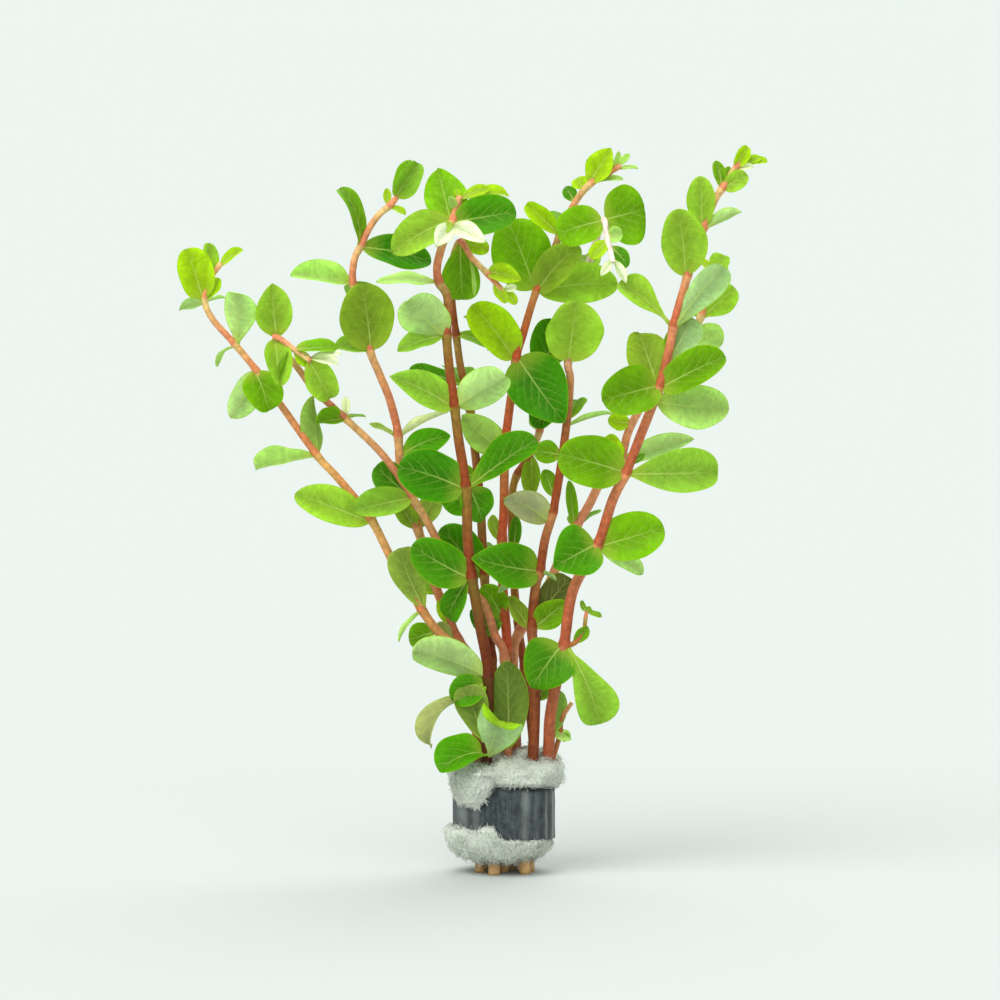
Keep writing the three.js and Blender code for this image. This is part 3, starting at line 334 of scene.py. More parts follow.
            (5, (4, 8.5, 3), 8, (0, 0.4, 1), 20, 5, "mid"),
            (6, (-8.6, -3, 0.6), 8, (0, -1, 0.2), 12, 5, "vivid"),
            (6.6, (4.4, -3.5, 0.5), 6, (-0.1, -0.9, 0.4), 12, 5, "dark"),
            (6.4, (-5.6, -2, 1.6), 4, (0, -1, 0.3), 12, 0, "mid"),
            (9, (-12.4, -2, 4.2), 4.6, (0, -0.6, 0.8), 15, 5, "dark"),
            (9, (-3, 9, 3.5), 8, (0, 0.4, 1), 20, 5, "mid"),
            (11, (11, -1, -2.6), 5, (0, -0.6, 0.8), 15, 5, "fresh"),
            (12, (3, 8.5, 4), 7.6, (0, 0.4, 1), 20, 5, "mid"),
            (14, (0.6, -2, -12.9), 9, (0.1, -1, 0.2), 20, 8, "mid spoon"),
            (14, (6.4, 0.5, -2), 4.4, (0, -1, 0.3), 12, 5, "lime round"),
            (16, (7.8, -1.5, -1.4), 5.2, (0.1, -0.9, 0.5), 15, 10, "lime egg"),
            (15, (0.6, -2, -8.2), 2, (0.8, -0.5, 0), 12, 0, "pale"),
            (17, (2.6, -0.5, -2.4), 2.6, (0, -1, 0.3), 12, 5, "lime"),
            (17, (2.6, -0.5, 1.4), 2.2, (0, -0.8, 0.5), 12, 5, "white"),
            (16.5, (2.4, -1.5, -4.4), 2.8, (0.2, -1, 0.2), 12, 5, "lime"),
        ],
    },
    "i": {
        "radii": (1.2, 0.75),
        "colours": ("#cc8060", "#dcaa74"),
        "route": [
            (2.2, 6, 0), (2.2, 6, 4), (2.5, 6.2, 14), (3, 6.4, 26.5), (2.3, 7, 46.9),
            (3.8, 8, 53), (9.5, 9, 61.9), (12.7, 10, 68.9), (16.4, 10.5, 76.2),
            (19.3, 11, 81.1), (21.5, 11, 85.5), (24.2, 11.5, 88.9), (26.4, 12, 91),
            (27.8, 12, 96.6), (29.8, 12, 101), (33.7, 12, 107.7), (38.2, 11.5, 114.5),
            (42.6, 10.5, 120.1), (44.2, 10, 123.5), (45.5, 9.5, 129.1), (47, 9, 134.7),
        ],
        "nodes": (5, 8, 12, 15, 18, 20),
        "leaves": [
            (8, (-1.6, -2, 10.6), 3.2, (0.5, -0.8, 0), 12, 0, "mid"),
            (8, (4, 8.5, 3), 8, (0, 0.4, 1), 20, 5, "mid"),
            (12, (16.4, -1.5, 5), 5.8, (0, 1, 0.25), 15, 10, "pale almond"),
            (12, (-2.6, -2, 6), 5.2, (-0.3, -1, 0), 12, 5, "lime"),
            (13.6, (-5.4, -1, 1), 4.4, (0, -1, 0.3), 12, 0, "lime"),
            (15, (3, 9, 4), 8, (0, 0.4, 1), 20, 5, "mid"),
            (17, (6.2, -2, -3), 7, (0.2, -1, 0.2), 12, 5, "pale round"),
            (18, (7.4, -1.5, 6.4), 7.2, (0.1, -1, 0.3), 18, 10, "bright spoon"),
            (18, (-4, 2, 2.4), 4, (0, -0.8, 0.6), 12, 0, "mid"),
            (20, (2.4, 0.4, 2.4), 5, (0, -0.9, 0.4), 40, 15, "bright round"),
            (20, (-3.8, 0, 1.2), 2.6, (0, -0.6, 0.8), 12, 0, "lime"),
            (20, (2.8, 1, -1.6), 4.2, (0.3, -1, 0.2), 20, 10, "lime"),
        ],
    },
    "j": {
        "radii": (1.05, 0.7),
        "colours": ("#96502c", "#a8803f"),
        "route": [
            (6, 3.6, 0), (6, 3.6, 4), (6.4, 4.5, 14), (6.8, 6, 26.5), (4.8, 11, 44),
            (3.2, 12.8, 55), (2.2, 14, 68), (2, 15, 81.8), (3.1, 15, 87.4), (6, 15, 91.9),
            (8.2, 15, 97.4), (9.3, 15, 104), (9.3, 15, 112.7),
        ],
        "nodes": (4, 6, 8, 10, 12),
        "leaves": [
            (4, (6, 5, 2), 7.4, (0, 0.3, 1), 20, 5, "mid"),
            (6.2, (0.8, -1.2, 7.6), 3, (0, -1, 0.2), 10, 0, "dark"),
            (6, (-6, 6, 3), 8, (0, 0.4, 1), 20, 5, "mid"),
            (9, (0.4, -2.5, -9), 4.8, (-0.3, -1, 0.2), 12, 5, "olive"),
            (11, (-1.6, -2, -6), 6, (0, -1, 0.2), 12, 5, "deep"),
            (10, (3, 8, 3), 8, (0, 0.4, 1), 20, 5, "mid"),
            (12, (1.2, -1.5, 10), 9.6, (0.1, -1, 0.2), 12, 8, "dark round"),
            (12, (-2.6, 6, 6), 7, (0, 0.6, 0.8), 15, 5, "lush round"),
        ],
    },
}
print("stems:", len(STEMS), "leaves:", sum(len(s["leaves"]) for s in STEMS.values()))

# %% [markdown]
# Two short side shoots grow from stem b, low down on its right. They are written in the
# same way, and are made together with the stem that bears them.

# %% The side shoots of stem b
SIDE_SHOOTS = [
    {
        "radii": (0.6, 0.45),
        "colours": ("#b5683c", "#c9a06a"),
        "route": [
            (9.6, -2.2, 22), (11.4, -1.2, 26.5), (12.7, -1, 31), (13.1, -1, 34.4), (15.3, -1.5, 38),
        ],
        "nodes": (2,),
        "leaves": [(2, (1.8, 0.4, -1.4), 2.2, (0, -1, 0.2), 15, 0, "mid")],
    },
    {
        "radii": (0.55, 0.35),
        "colours": ("#b5683c", "#9c8a3a"),
        "route": [
            (13.5, -6, 50.9), (16, -6.3, 52), (17.8, -6.4, 54.4), (18.3, -6.4, 57.5), (18.5, -6.4, 59),
        ],
        "nodes": (1, 3),
        "leaves": [
            (1, (2.9, -0.6, 3.6), 3.4, (0.4, -1, 0), 12, 10, "mid"),
            (4, (-1.2, 0, 2.4), 1.4, (-0.3, -1, 0), 12, 0, "mid"),
            (4, (0.8, -0.3, 1), 1.6, (0, -1, 0.3), 12, 0, "mid"),
            (4, (3.5, 0, -1.2), 1.5, (0, -0.8, 0.6), 40, 0, "mid"),
        ],
    },
]
print("side shoots:", len(SIDE_SHOOTS), "leaves:", sum(len(s["leaves"]) for s in SIDE_SHOOTS))

# %% [markdown]
# ## Colours and shader nodes
# Blender's shaders want linear colour, and a leaf's green is easiest to name as the hex
# value that a screen shows, so one function turns hex to linear. A second one starts a
# material with no nodes in it, and a third adds a shader node with its links and its
# settings in one call, so that a material reads from top to bottom like a recipe.


# %% Colours and nodes
def linear(hex_colour):
    """A screen's hex colour as linear red, green, blue and alpha, by the sRGB formula."""
    channels = [int(hex_colour[i : i + 2], 16) / 255 for i in (1, 3, 5)]
    return (*[c / 12.92 if c < 0.04045 else ((c + 0.055) / 1.055) ** 2.4 for c in channels], 1)


def new_material(name):
    material = bpy.data.materials.new(name)
    material.use_nodes = True
    material.node_tree.nodes.clear()
    return material


def add_node(material, kind, inputs=None, **settings):
    """Adds a node. An input is a value, or another node's output, which is then linked."""
    node = material.node_tree.nodes.new("ShaderNode" + kind)
    for name, value in settings.items():
        setattr(node, name, value)
    for socket, value in (inputs or {}).items():
        if isinstance(value, bpy.types.NodeSocket):
            material.node_tree.links.new(value, node.inputs[socket])
        else:
            node.inputs[socket].default_value = value
    return node


print("leaf green in linear light:", [round(c, 3) for c in linear("#5fa516")[:3]])

# %% [markdown]
# ## Meshes from closed loops
# Everything here is long and closed in section: a stem is a row of rings, and a leaf and
# the strip are rows of flat loops. One function makes the faces between such loops and
# closes both ends. Another turns points and faces into an object, and keeps named numbers
# on its points, which the materials read later. A third joins several parts into one.


# %% Loops, parts and objects
def smooth(x, low, high):
    """0 below low, 1 above high, and an easy curve between."""
    t = np.clip((x - low) / (high - low), 0, 1)
    return t * t * (3 - 2 * t)


def loop_faces(stations, count):
    """Quads between closed loops of points, with both ends closed."""
    faces = []
    for s in range(stations - 1):
        for k in range(count):
            a, b = s * count + k, s * count + (k + 1) % count
            faces.append((a, b, b + count, a + count))
    faces.append(tuple(range(count - 1, -1, -1)))
    faces.append(tuple((stations - 1) * count + k for k in range(count)))
    return faces


def join_parts(parts):
    """Joins parts of the form (points, faces, numbers on the points, ...) into one part."""
    start, faces = 0, []
    for part in parts:
        faces += [tuple(i + start for i in face) for face in part[1]]
        start += len(part[0])
    points, _, *numbers = zip(*parts)
    return np.concatenate(points), faces, *[np.concatenate(column) for column in numbers]


def mesh_object(name, points, faces, material, attributes=()):
    """An object from points (m) and faces, with named numbers kept on its points."""
    mesh = bpy.data.meshes.new(name)
    mesh.from_pydata(np.asarray(points).tolist(), [], faces)
    for label, kind, values in attributes:
        attribute = mesh.attributes.new(label, kind, "POINT")
        field = {"FLOAT": "value", "FLOAT_VECTOR": "vector", "FLOAT_COLOR": "color"}[kind]
        attribute.data.foreach_set(field, np.asarray(values, np.float32).ravel())
    mesh.polygons.foreach_set("use_smooth", [True] * len(mesh.polygons))
    mesh.materials.append(material)
    mesh.update()
    piece = bpy.data.objects.new(name, mesh)
    bpy.context.scene.collection.objects.link(piece)
    return piece


print("a box has", len(loop_faces(2, 4)), "faces")

# %% [markdown]
# ## A stem's axis
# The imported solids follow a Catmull-Rom curve through the route points: it passes through
# each point, and leaves it in the direction from the point before to the point after. The
# same curve is worked out here, so that the finer stem lies exactly round the solid's axis.


# %% Points and directions along a route
def along_route(route, at):
    """Place and direction (mm) on the route at fractional point numbers."""
    p = np.array(route, float)
    p = np.vstack([2 * p[0] - p[1], p, 2 * p[-1] - p[-2]])
    at = np.atleast_1d(np.clip(at, 0, len(route) - 1))
    i = np.minimum(at.astype(int), len(route) - 2)
    t = (at - i)[:, None]
    p0, p1, p2, p3 = p[i], p[i + 1], p[i + 2], p[i + 3]
    v1, v2 = 0.5 * (p2 - p0), 0.5 * (p3 - p1)
    cubic, square = 2 * p1 - 2 * p2 + v1 + v2, 3 * p2 - 3 * p1 - 2 * v1 - v2
    place = cubic * t**3 + square * t**2 + v1 * t + p1
    way = 3 * cubic * t**2 + 2 * square * t + v1
    return place, way / np.linalg.norm(way, axis=1)[:, None]


def stem_radius(stem, at):
    """Radius (mm) at a fractional point number: it tapers evenly from foot to tip."""
    return stem["radii"][0] + (stem["radii"][1] - stem["radii"][0]) * at / (len(stem["route"]) - 1)


print("stem a at its fourth node:", along_route(STEMS["a"]["route"], 10)[0].round(1))

# %% [markdown]
# ## Leaf skin
# A living leaf is a thin sheet of wet green tissue: light passes through it, its upper
# side is darker and waxier than its lower one, and its veins hold less green. To the eye
# that gives a soft satin green, brighter where light comes from behind. The blade's own
# measures travel on its mesh (how far along, how far across, in mm), so the veins are
# drawn by arithmetic at real size: a midrib, side veins that curve towards the tip, and a
# fine net between them. A thin sheet that glows when lit from behind is a mix of a
# surface shader and a translucent one. Wet leaf tissue has an IOR of about 1.42.

# %% Leaf tones and sizes
LEAF_TONES = {  # upper side, lower side
    "deep": ("#429402", "#8cba50"),
    "dark": ("#509c04", "#82b448"),
    "vivid": ("#5cae04", "#90c64c"),
    "mid": ("#7ab20a", "#9cc25a"),
    "lush": ("#84c006", "#a4c850"),
    "fresh": ("#96c43c", "#aed068"),
    "bright": ("#a4cc3c", "#b8d870"),
    "lime": ("#b8dc16", "#cce460"),
    "olive": ("#98b832", "#a4be4e"),
    "moss": ("#8aa444", "#7e9a3e"),
    "dusk": ("#848c40", "#768038"),
    "pale": ("#bce07c", "#c4e094"),
    "sage": ("#a2c67c", "#b2d092"),
    "turned": ("#a0cc20", "#c4e0a6"),
    "rosy": ("#b4bc78", "#cccea6"),
    "white": ("#f6f8ea", "#f8faf0"),
}
VEIN_LEAN = (1.15, 1.9)  # mm along for each mm across, at the midrib and at the margin
VEIN_STAGGER = 0.21  # half gaps: the veins of one half are moved up by it, the others down
LEAF_MOTTLE = 4.35  # mm, the width of a patch that is a little deeper or paler
LEAF_GRAIN = 0.588  # mm: real cells are a tenth of it, too fine to show at this distance
LEAF_NET = 0.91  # mm, the width of a mesh in the net of small veins
print("leaf tones:", len(LEAF_TONES))

# %% [markdown]
# The veins are drawn with sums on the blade's own millimetres. The number of half gaps
# passed since the base, folded back and forth between 0 and 1, tells how far away the
# nearest side vein is.


# %% Leaf veins
def leaf_veins(leaf, along, across, share_out, side, half_gap, mottle):
    """Strength of the veins, from 0 to 1, and the number of the side vein at each place."""
    # Side veins leave the midrib at a wide angle and arch towards the tip near the margin.
    # They do not meet in pairs, and a little noise keeps them from running like print.
    lean = add_node(
        leaf, "MapRange", {"Value": share_out, "To Min": VEIN_LEAN[0], "To Max": VEIN_LEAN[1]}
    ).outputs[0]
    lag = add_node(leaf, "Math", {0: across, 1: lean}, operation="MULTIPLY").outputs[0]
    start = add_node(leaf, "Math", {0: along, 1: lag}, operation="SUBTRACT").outputs[0]
    count = add_node(leaf, "Math", {0: start, 1: half_gap}, operation="DIVIDE").outputs[0]
    uneven = add_node(leaf, "Math", {0: mottle, 1: 0.35, 2: count}, operation="MULTIPLY_ADD").outputs[0]
    count = add_node(
        leaf, "Math", {0: side, 1: VEIN_STAGGER, 2: uneven}, operation="MULTIPLY_ADD"
    ).outputs[0]
    away = add_node(leaf, "Math", {0: count, 1: 1.0}, operation="PINGPONG").outputs[0]
    away = add_node(leaf, "Math", {0: away, 1: half_gap}, operation="MULTIPLY").outputs[0]
    side_vein = add_node(
        leaf, "MapRange",
        {"Value": away, "From Min": 0.04, "From Max": 0.3, "To Min": 1, "To Max": 0},
        interpolation_type="SMOOTHSTEP",
    ).outputs[0]
    fade = add_node(
        leaf, "MapRange",
        {"Value": share_out, "From Min": 0.1, "From Max": 0.95, "To Min": 0.27, "To Max": 0},
    ).outputs[0]
    side_vein = add_node(leaf, "Math", {0: side_vein, 1: fade}, operation="MULTIPLY").outputs[0]
    return side_vein, count


def leaf_midrib(leaf, across, share_along):
    """The midrib is half a millimetre wide, and fades towards the tip."""
    midrib = add_node(
        leaf, "MapRange",
        {"Value": across, "From Min": 0.05, "From Max": 0.26, "To Min": 1, "To Max": 0},
        interpolation_type="SMOOTHSTEP",
    ).outputs[0]
    fade = add_node(
        leaf, "MapRange",
        {"Value": share_along, "From Min": 0.2, "From Max": 0.95, "To Min": 0.75, "To Max": 0.05},
    ).outputs[0]
    return add_node(leaf, "Math", {0: midrib, 1: fade}, operation="MULTIPLY").outputs[0]


def leaf_net(leaf, blade_mm):
    """The net of the smallest veins, as the borders between cells."""
    border = add_node(
        leaf, "TexVoronoi", {"Vector": blade_mm, "Scale": 1 / LEAF_NET}, feature="DISTANCE_TO_EDGE"
    ).outputs["Distance"]
    return add_node(
        leaf, "MapRange", {"Value": border, "From Max": 0.14, "To Min": 0.06, "To Max": 0}
    ).outputs[0]


print("side veins lean", VEIN_LEAN, "mm along for each mm across")

# %% [markdown]
# A leaf is never one flat green. Patches a few millimetres wide and a fine grain each change
# its brightness by a few hundredths. Broader streaks between the side veins are painted
# sheen, and the paler margin is painted light coming through the thin edge.


# %% Leaf depth
def leaf_depth(leaf, count, share_across, share_out, half, mottle, grain):
    """How much brighter or deeper the green is at each place, with painted sheen and glow."""
    # Painted sheen: broad light and dark streaks run out from the midrib as the side veins
    # do, and the width of the blade, multiplied up, makes them fall differently on each leaf.
    out = add_node(leaf, "Math", {0: share_across, 1: 0.6}, operation="MULTIPLY").outputs[0]
    own = add_node(leaf, "Math", {0: half, 1: 9.0}, operation="MULTIPLY").outputs[0]
    fluted = add_node(leaf, "CombineXYZ", {0: count, 1: out, 2: own}).outputs[0]
    painted_vein_sheen = add_node(leaf, "TexNoise", {"Vector": fluted, "Scale": 0.4, "Detail": 1}).outputs["Fac"]
    depth = add_node(
        leaf, "MapRange",
        {"Value": mottle, "From Min": 0.32, "From Max": 0.68, "To Min": 0.94, "To Max": 1.07},
    ).outputs[0]
    patch = add_node(
        leaf, "MapRange",
        {"Value": painted_vein_sheen, "From Min": 0.34, "From Max": 0.66, "To Min": 0.92, "To Max": 1.08},
    ).outputs[0]
    fine = add_node(
        leaf, "MapRange",
        {"Value": grain, "From Min": 0.3, "From Max": 0.7, "To Min": 0.94, "To Max": 1.06},
    ).outputs[0]
    # Painted light: the green is deeper in the middle of the blade and paler towards its
    # margin, where light comes through the thin edge.
    light = add_node(
        leaf, "MapRange",
        {"Value": share_out, "From Min": 0.1, "From Max": 1, "To Min": 0.84, "To Max": 1.2},
    ).outputs[0]
    for factor in (patch, fine, light):
        depth = add_node(leaf, "Math", {0: depth, 1: factor}, operation="MULTIPLY").outputs[0]
    return depth


print("mottle:", LEAF_MOTTLE, "mm, grain:", LEAF_GRAIN, "mm, net:", LEAF_NET, "mm")

# %% [markdown]
# The whole skin puts these together: the two greens of the tone, chosen by the side, then
# the depth, the veins and the rim, and last the mix of surface and light that comes through.


# %% Leaf material
def leaf_material():
    leaf = new_material("living_leaf")
    blade_mm = add_node(leaf, "Attribute", attribute_name="blade_mm").outputs["Vector"]
    along, sideways, half = add_node(leaf, "SeparateXYZ", {0: blade_mm}).outputs
    shares = add_node(leaf, "Attribute", attribute_name="blade_share").outputs["Vector"]
    share_along, share_across, half_gap = add_node(leaf, "SeparateXYZ", {0: shares}).outputs
    upper = add_node(leaf, "Attribute", attribute_name="upper_colour").outputs["Color"]
    lower = add_node(leaf, "Attribute", attribute_name="lower_colour").outputs["Color"]
    on_top = add_node(leaf, "Attribute", attribute_name="upper_side").outputs["Fac"]
    place = add_node(leaf, "NewGeometry").outputs["Position"]
    mottle = add_node(
        leaf, "TexNoise",
        {"Vector": place, "Scale": 1 / (LEAF_MOTTLE * MM), "Detail": 4, "Roughness": 0.62},
    ).outputs["Fac"]
    grain = add_node(
        leaf, "TexNoise", {"Vector": place, "Scale": 1 / (LEAF_GRAIN * MM), "Detail": 2}
    ).outputs["Fac"]
    across = add_node(leaf, "Math", {0: sideways}, operation="ABSOLUTE").outputs[0]
    share_out = add_node(leaf, "Math", {0: share_across}, operation="ABSOLUTE").outputs[0]
    side = add_node(leaf, "Math", {0: share_across}, operation="SIGN").outputs[0]

    side_vein, count = leaf_veins(leaf, along, across, share_out, side, half_gap, mottle)
    midrib = leaf_midrib(leaf, across, share_along)
    vein = add_node(leaf, "Math", {0: side_vein, 1: midrib}, operation="MAXIMUM").outputs[0]
    vein = add_node(
        leaf, "Math", {0: vein, 1: leaf_net(leaf, blade_mm)}, operation="ADD", use_clamp=True
    ).outputs[0]

    # The green, then the young yellow base, the pale veins and a light rim over it: the rim
    # is painted glow where light comes through the thin margin.
    green = add_node(leaf, "Mix", {0: on_top, 6: lower, 7: upper}, data_type="RGBA").outputs[2]
    depth = leaf_depth(leaf, count, share_across, share_out, half, mottle, grain)
    green = add_node(leaf, "HueSaturation", {"Value": depth, "Color": green}).outputs[0]
    base = add_node(
        leaf, "MapRange",
        {"Value": share_along, "From Min": 0.02, "From Max": 0.34, "To Min": 0.5, "To Max": 0},
        interpolation_type="SMOOTHSTEP",
    ).outputs[0]
    # Painted glow: a yellow-green rim within 0.3 mm of the margin.
    from_edge = add_node(leaf, "Math", {0: half, 1: across}, operation="SUBTRACT").outputs[0]
    rim = add_node(
        leaf, "MapRange", {"Value": from_edge, "From Max": 0.3, "To Min": 0.65, "To Max": 0}
    ).outputs[0]
    for amount, colour in ((base, "#bccc4a"), (vein, "#c9de78"), (rim, "#aac828")):
        green = add_node(
            leaf, "Mix", {0: amount, 6: green, 7: linear(colour)}, data_type="RGBA"
        ).outputs[2]

    # The veins are sunk into the upper side. Light that comes through is yellower.
    height = add_node(leaf, "Math", {0: vein, 1: -1.2, 2: grain}, operation="MULTIPLY_ADD").outputs[0]
    bump = add_node(leaf, "Bump", {"Height": height, "Strength": 0.5, "Distance": 0.1 * MM}).outputs[0]
    skin = add_node(
        leaf, "BsdfPrincipled",
        {"Base Color": green, "Roughness": 0.42, "IOR": 1.42, "Specular IOR Level": 0.1, "Normal": bump},
    )
    lit = add_node(
        leaf, "Mix",
        {0: 0.55, 6: green, 7: linear("#e6f26a")},
        data_type="RGBA", blend_type="MULTIPLY",
    ).outputs[2]
    lit = add_node(leaf, "HueSaturation", {"Value": 1.5, "Color": lit}).outputs[0]
    through = add_node(leaf, "BsdfTranslucent", {"Color": lit, "Normal": bump})
    sheet = add_node(leaf, "MixShader", {0: 0.36, 1: skin.outputs[0], 2: through.outputs[0]})
    add_node(leaf, "OutputMaterial", {"Surface": sheet.outputs[0]})
    return leaf


LEAF = leaf_material()
print("leaf material:", len(LEAF.node_tree.nodes), "nodes")

# %% [markdown]
# ## The outline of a leaf
# A rotala leaf is a round blade on a very short stalk. Its half width is a curve that
# opens from the base by one power and closes at the tip by another, so two numbers give
# the whole outline. Leaves of one bunch differ: young ones are pointed, old ones blunt.

# %% Outlines
LEAF_OUTLINES = {  # how slowly the outline opens at the base, and how it closes at the tip
    "oval": (0.62, 0.56),
    "round": (0.5, 0.47),
    "egg": (0.52, 0.8),
    "spoon": (0.95, 0.46),
    "almond": (0.8, 0.85),
    "blunt": (0.75, 0.3),
    "paddle": (1.7, 0.5),
}
STALK_WIDTH = 1.3  # mm, on a leaf 5 mm wide or more


def blade_half_width(along, width, outline):
    """Half width (mm) at each share of the length: a narrow stalk that turns into the blade."""
    opening, closing = LEAF_OUTLINES[outline]
    widest = opening / (opening + closing)
    blade = along**opening * (1 - along) ** closing / (widest**opening * (1 - widest) ** closing)
    stalk = STALK_WIDTH * min(1, width / 5) * (1 - smooth(along, 0.02, 0.3))
    return 0.5 * (stalk**3 + (width * blade) ** 3) ** (1 / 3)


for outline in LEAF_OUTLINES:
    widths = blade_half_width(np.array([0.25, 0.5, 0.75]), 10, outline) * 2
    print(outline, "leaf, 10 mm wide, at three places:", widths.round(1))

# %% [markdown]
# ## Where a leaf sits
# A leaf row gives the place of the tip and the way the upper face looks. The base is
# inside the stem's surface on the same side, so that stalk and stem join without a gap.
# From the two ends and the face come the leaf's own three directions.


# %% Base, length and directions of a leaf
def unit(v):
    return v / np.linalg.norm(v)


def leaf_frame(stem, leaf):
    """Base point and length (mm), and the leaf's own forward, side and up directions."""
    at, to_tip, _, face = leaf[:4]
    last = len(stem["route"]) - 1
    rooted = min(at, last - 0.1 * last / (last + 1))  # inside the stem's tip, at the latest
    node, way = (x[0] for x in along_route(stem["route"], rooted))
    tip = along_route(stem["route"], at)[0][0] + np.array(to_tip, float)
    outward = np.array(to_tip, float)
    outward = unit(outward - way * outward.dot(way))
    base = node + outward * 0.6 * stem_radius(stem, at)
    forward = unit(tip - base)
    up = np.array(face, float)
    up = unit(up - forward * up.dot(forward))
    return base, np.linalg.norm(tip - base), forward, np.cross(up, forward), up


lengths = [leaf_frame(stem, leaf)[1] for stem in STEMS.values() for leaf in stem["leaves"]]
print("leaves are", round(min(lengths), 1), "to", round(max(lengths), 1), "mm long")

# %% [markdown]
# ## The relief of a leaf
# The blade is cupped about its midrib, rippled a little more towards the margin, quilted
# between the side veins and furrowed along the midrib. It is a few tenths of a millimetre
# thick, most at the midrib and least at the margin. No two leaves in a bunch lie alike,
# so what differs is drawn by chance for each leaf, in one place and always in one order.

# %% Relief and thickness
VEIN_GAP = 3.0  # mm between side veins on a blade 9 mm wide or more
BLADE_THICK = 0.15  # mm
RIB_THICK = 0.30  # mm more at the midrib, near the base
RIPPLE, ROLL = 0.045, 0.05  # height of the waves and of the rolled margin, to the width
QUILT, FURROW = 0.11, 0.10  # mm, half height of the quilting and depth over the midrib


def leaf_chance():
    """What differs from leaf to leaf. Angles are in degrees but for the phases."""
    return {
        "phases": rng.uniform(0, 2 * math.pi, 2),
        "waves": rng.uniform(0.8, 1.8),
        "lift": rng.uniform(5, 19),
        "roll": rng.uniform(0.0, 1.0),
        "curl": rng.uniform(0, 22),
        "sway": rng.normal(0, 0.02),
        "twist": rng.normal(0, 9),
        "shade": rng.uniform(0.88, 1.0),
    }


def half_vein_gap(width):
    return 0.5 * VEIN_GAP * min(1, width / 9)


def blade_relief(u, v, half, length, width, lift, chance):
    """Height (mm) over the flat blade, at shares u along it and v across it, from -1 to 1."""
    out, side = np.abs(v), np.sign(v)
    cup = half * out**1.3 * math.sin(lift)
    phases = chance["phases"]
    wave = np.sin(2 * math.pi * chance["waves"] * u + phases[0] + side * phases[1])
    ripple = RIPPLE * width * out**2 * smooth(u, 0.1, 0.4) * wave
    roll = -ROLL * width * out**4 * smooth(u, 0.15, 0.5) * chance["roll"]
    lean = VEIN_LEAN[0] + (VEIN_LEAN[1] - VEIN_LEAN[0]) * out
    vein = (u * length - half * out * lean) / half_vein_gap(width) + VEIN_STAGGER * side
    small = min(1, width / 8)
    quilt = QUILT * np.cos(math.pi * (vein + 1)) * (1 - out**3) * smooth(out, 0.02, 0.2) * small
    furrow = -FURROW * np.exp(-((v * half / 0.4) ** 2))
    return cup + ripple + roll + quilt + furrow


def blade_thickness(u, v, half):
    """Thickness (mm): a midrib that thins towards the tip, and sharp margins."""
    thick = BLADE_THICK + RIB_THICK * np.exp(-((v * half / 0.45) ** 2)) * (1 - 0.7 * u)
    return thick * np.sqrt(np.clip(1 - np.abs(v) ** 6, 0, 1)) * smooth(1 - u, -0.02, 0.04)


print("side veins on a leaf 6 mm wide are", 2 * half_vein_gap(6), "mm apart")

# %% [markdown]
# ## One leaf
# The sheet is a grid of stations from base to tip. Each station is a closed loop: across
# the upper side, round the margin, and back across the lower side, so the leaf has a real
# thickness. The stations lie closer together at both ends, where the outline turns fast.
# The midrib is walked along step by step, so that the leaf can bend evenly and its tip
# can curl, a little on most leaves and right over on a hooded one.

# %% Leaf mesh
LEAF_HABITS = {"flat": None, "hood": 115}  # degrees that the tip curls, or None for chance
WIDE_LEAF = 5  # mm: wider leaves get a finer grid


def blade_grid(width):
    """Shares along the blade as a column, and across it from margin to margin as a row."""
    stations, lanes = (30, 8) if width > WIDE_LEAF else (16, 5)
    u = 0.5 - 0.5 * np.cos(np.linspace(0, math.pi, stations))
    u = np.clip(0.75 * u + 0.25 * np.linspace(0, 1, stations), 0, 1)
    places = 2 * lanes + 1
    v = 0.6 * np.sin(np.linspace(-math.pi / 2, math.pi / 2, places)) + 0.4 * np.linspace(-1, 1, places)
    return u[:, None], v[None, :]


def walk_midrib(u, length, turn, curl):
    """Slope, way ahead and height of the midrib at each station, walked from the base."""
    slope = turn * (u - 0.5) + curl * smooth(u, 0.72, 1.0)
    stride = np.diff(u, axis=0) * length * (turn / 2) / math.sin(turn / 2)
    middle = (slope[1:] + slope[:-1]) / 2
    ahead = np.vstack([[[0]], np.cumsum(np.cos(middle) * stride, axis=0)])
    height = np.vstack([[[0]], np.cumsum(-np.sin(middle) * stride, axis=0)])
    return slope, ahead, height


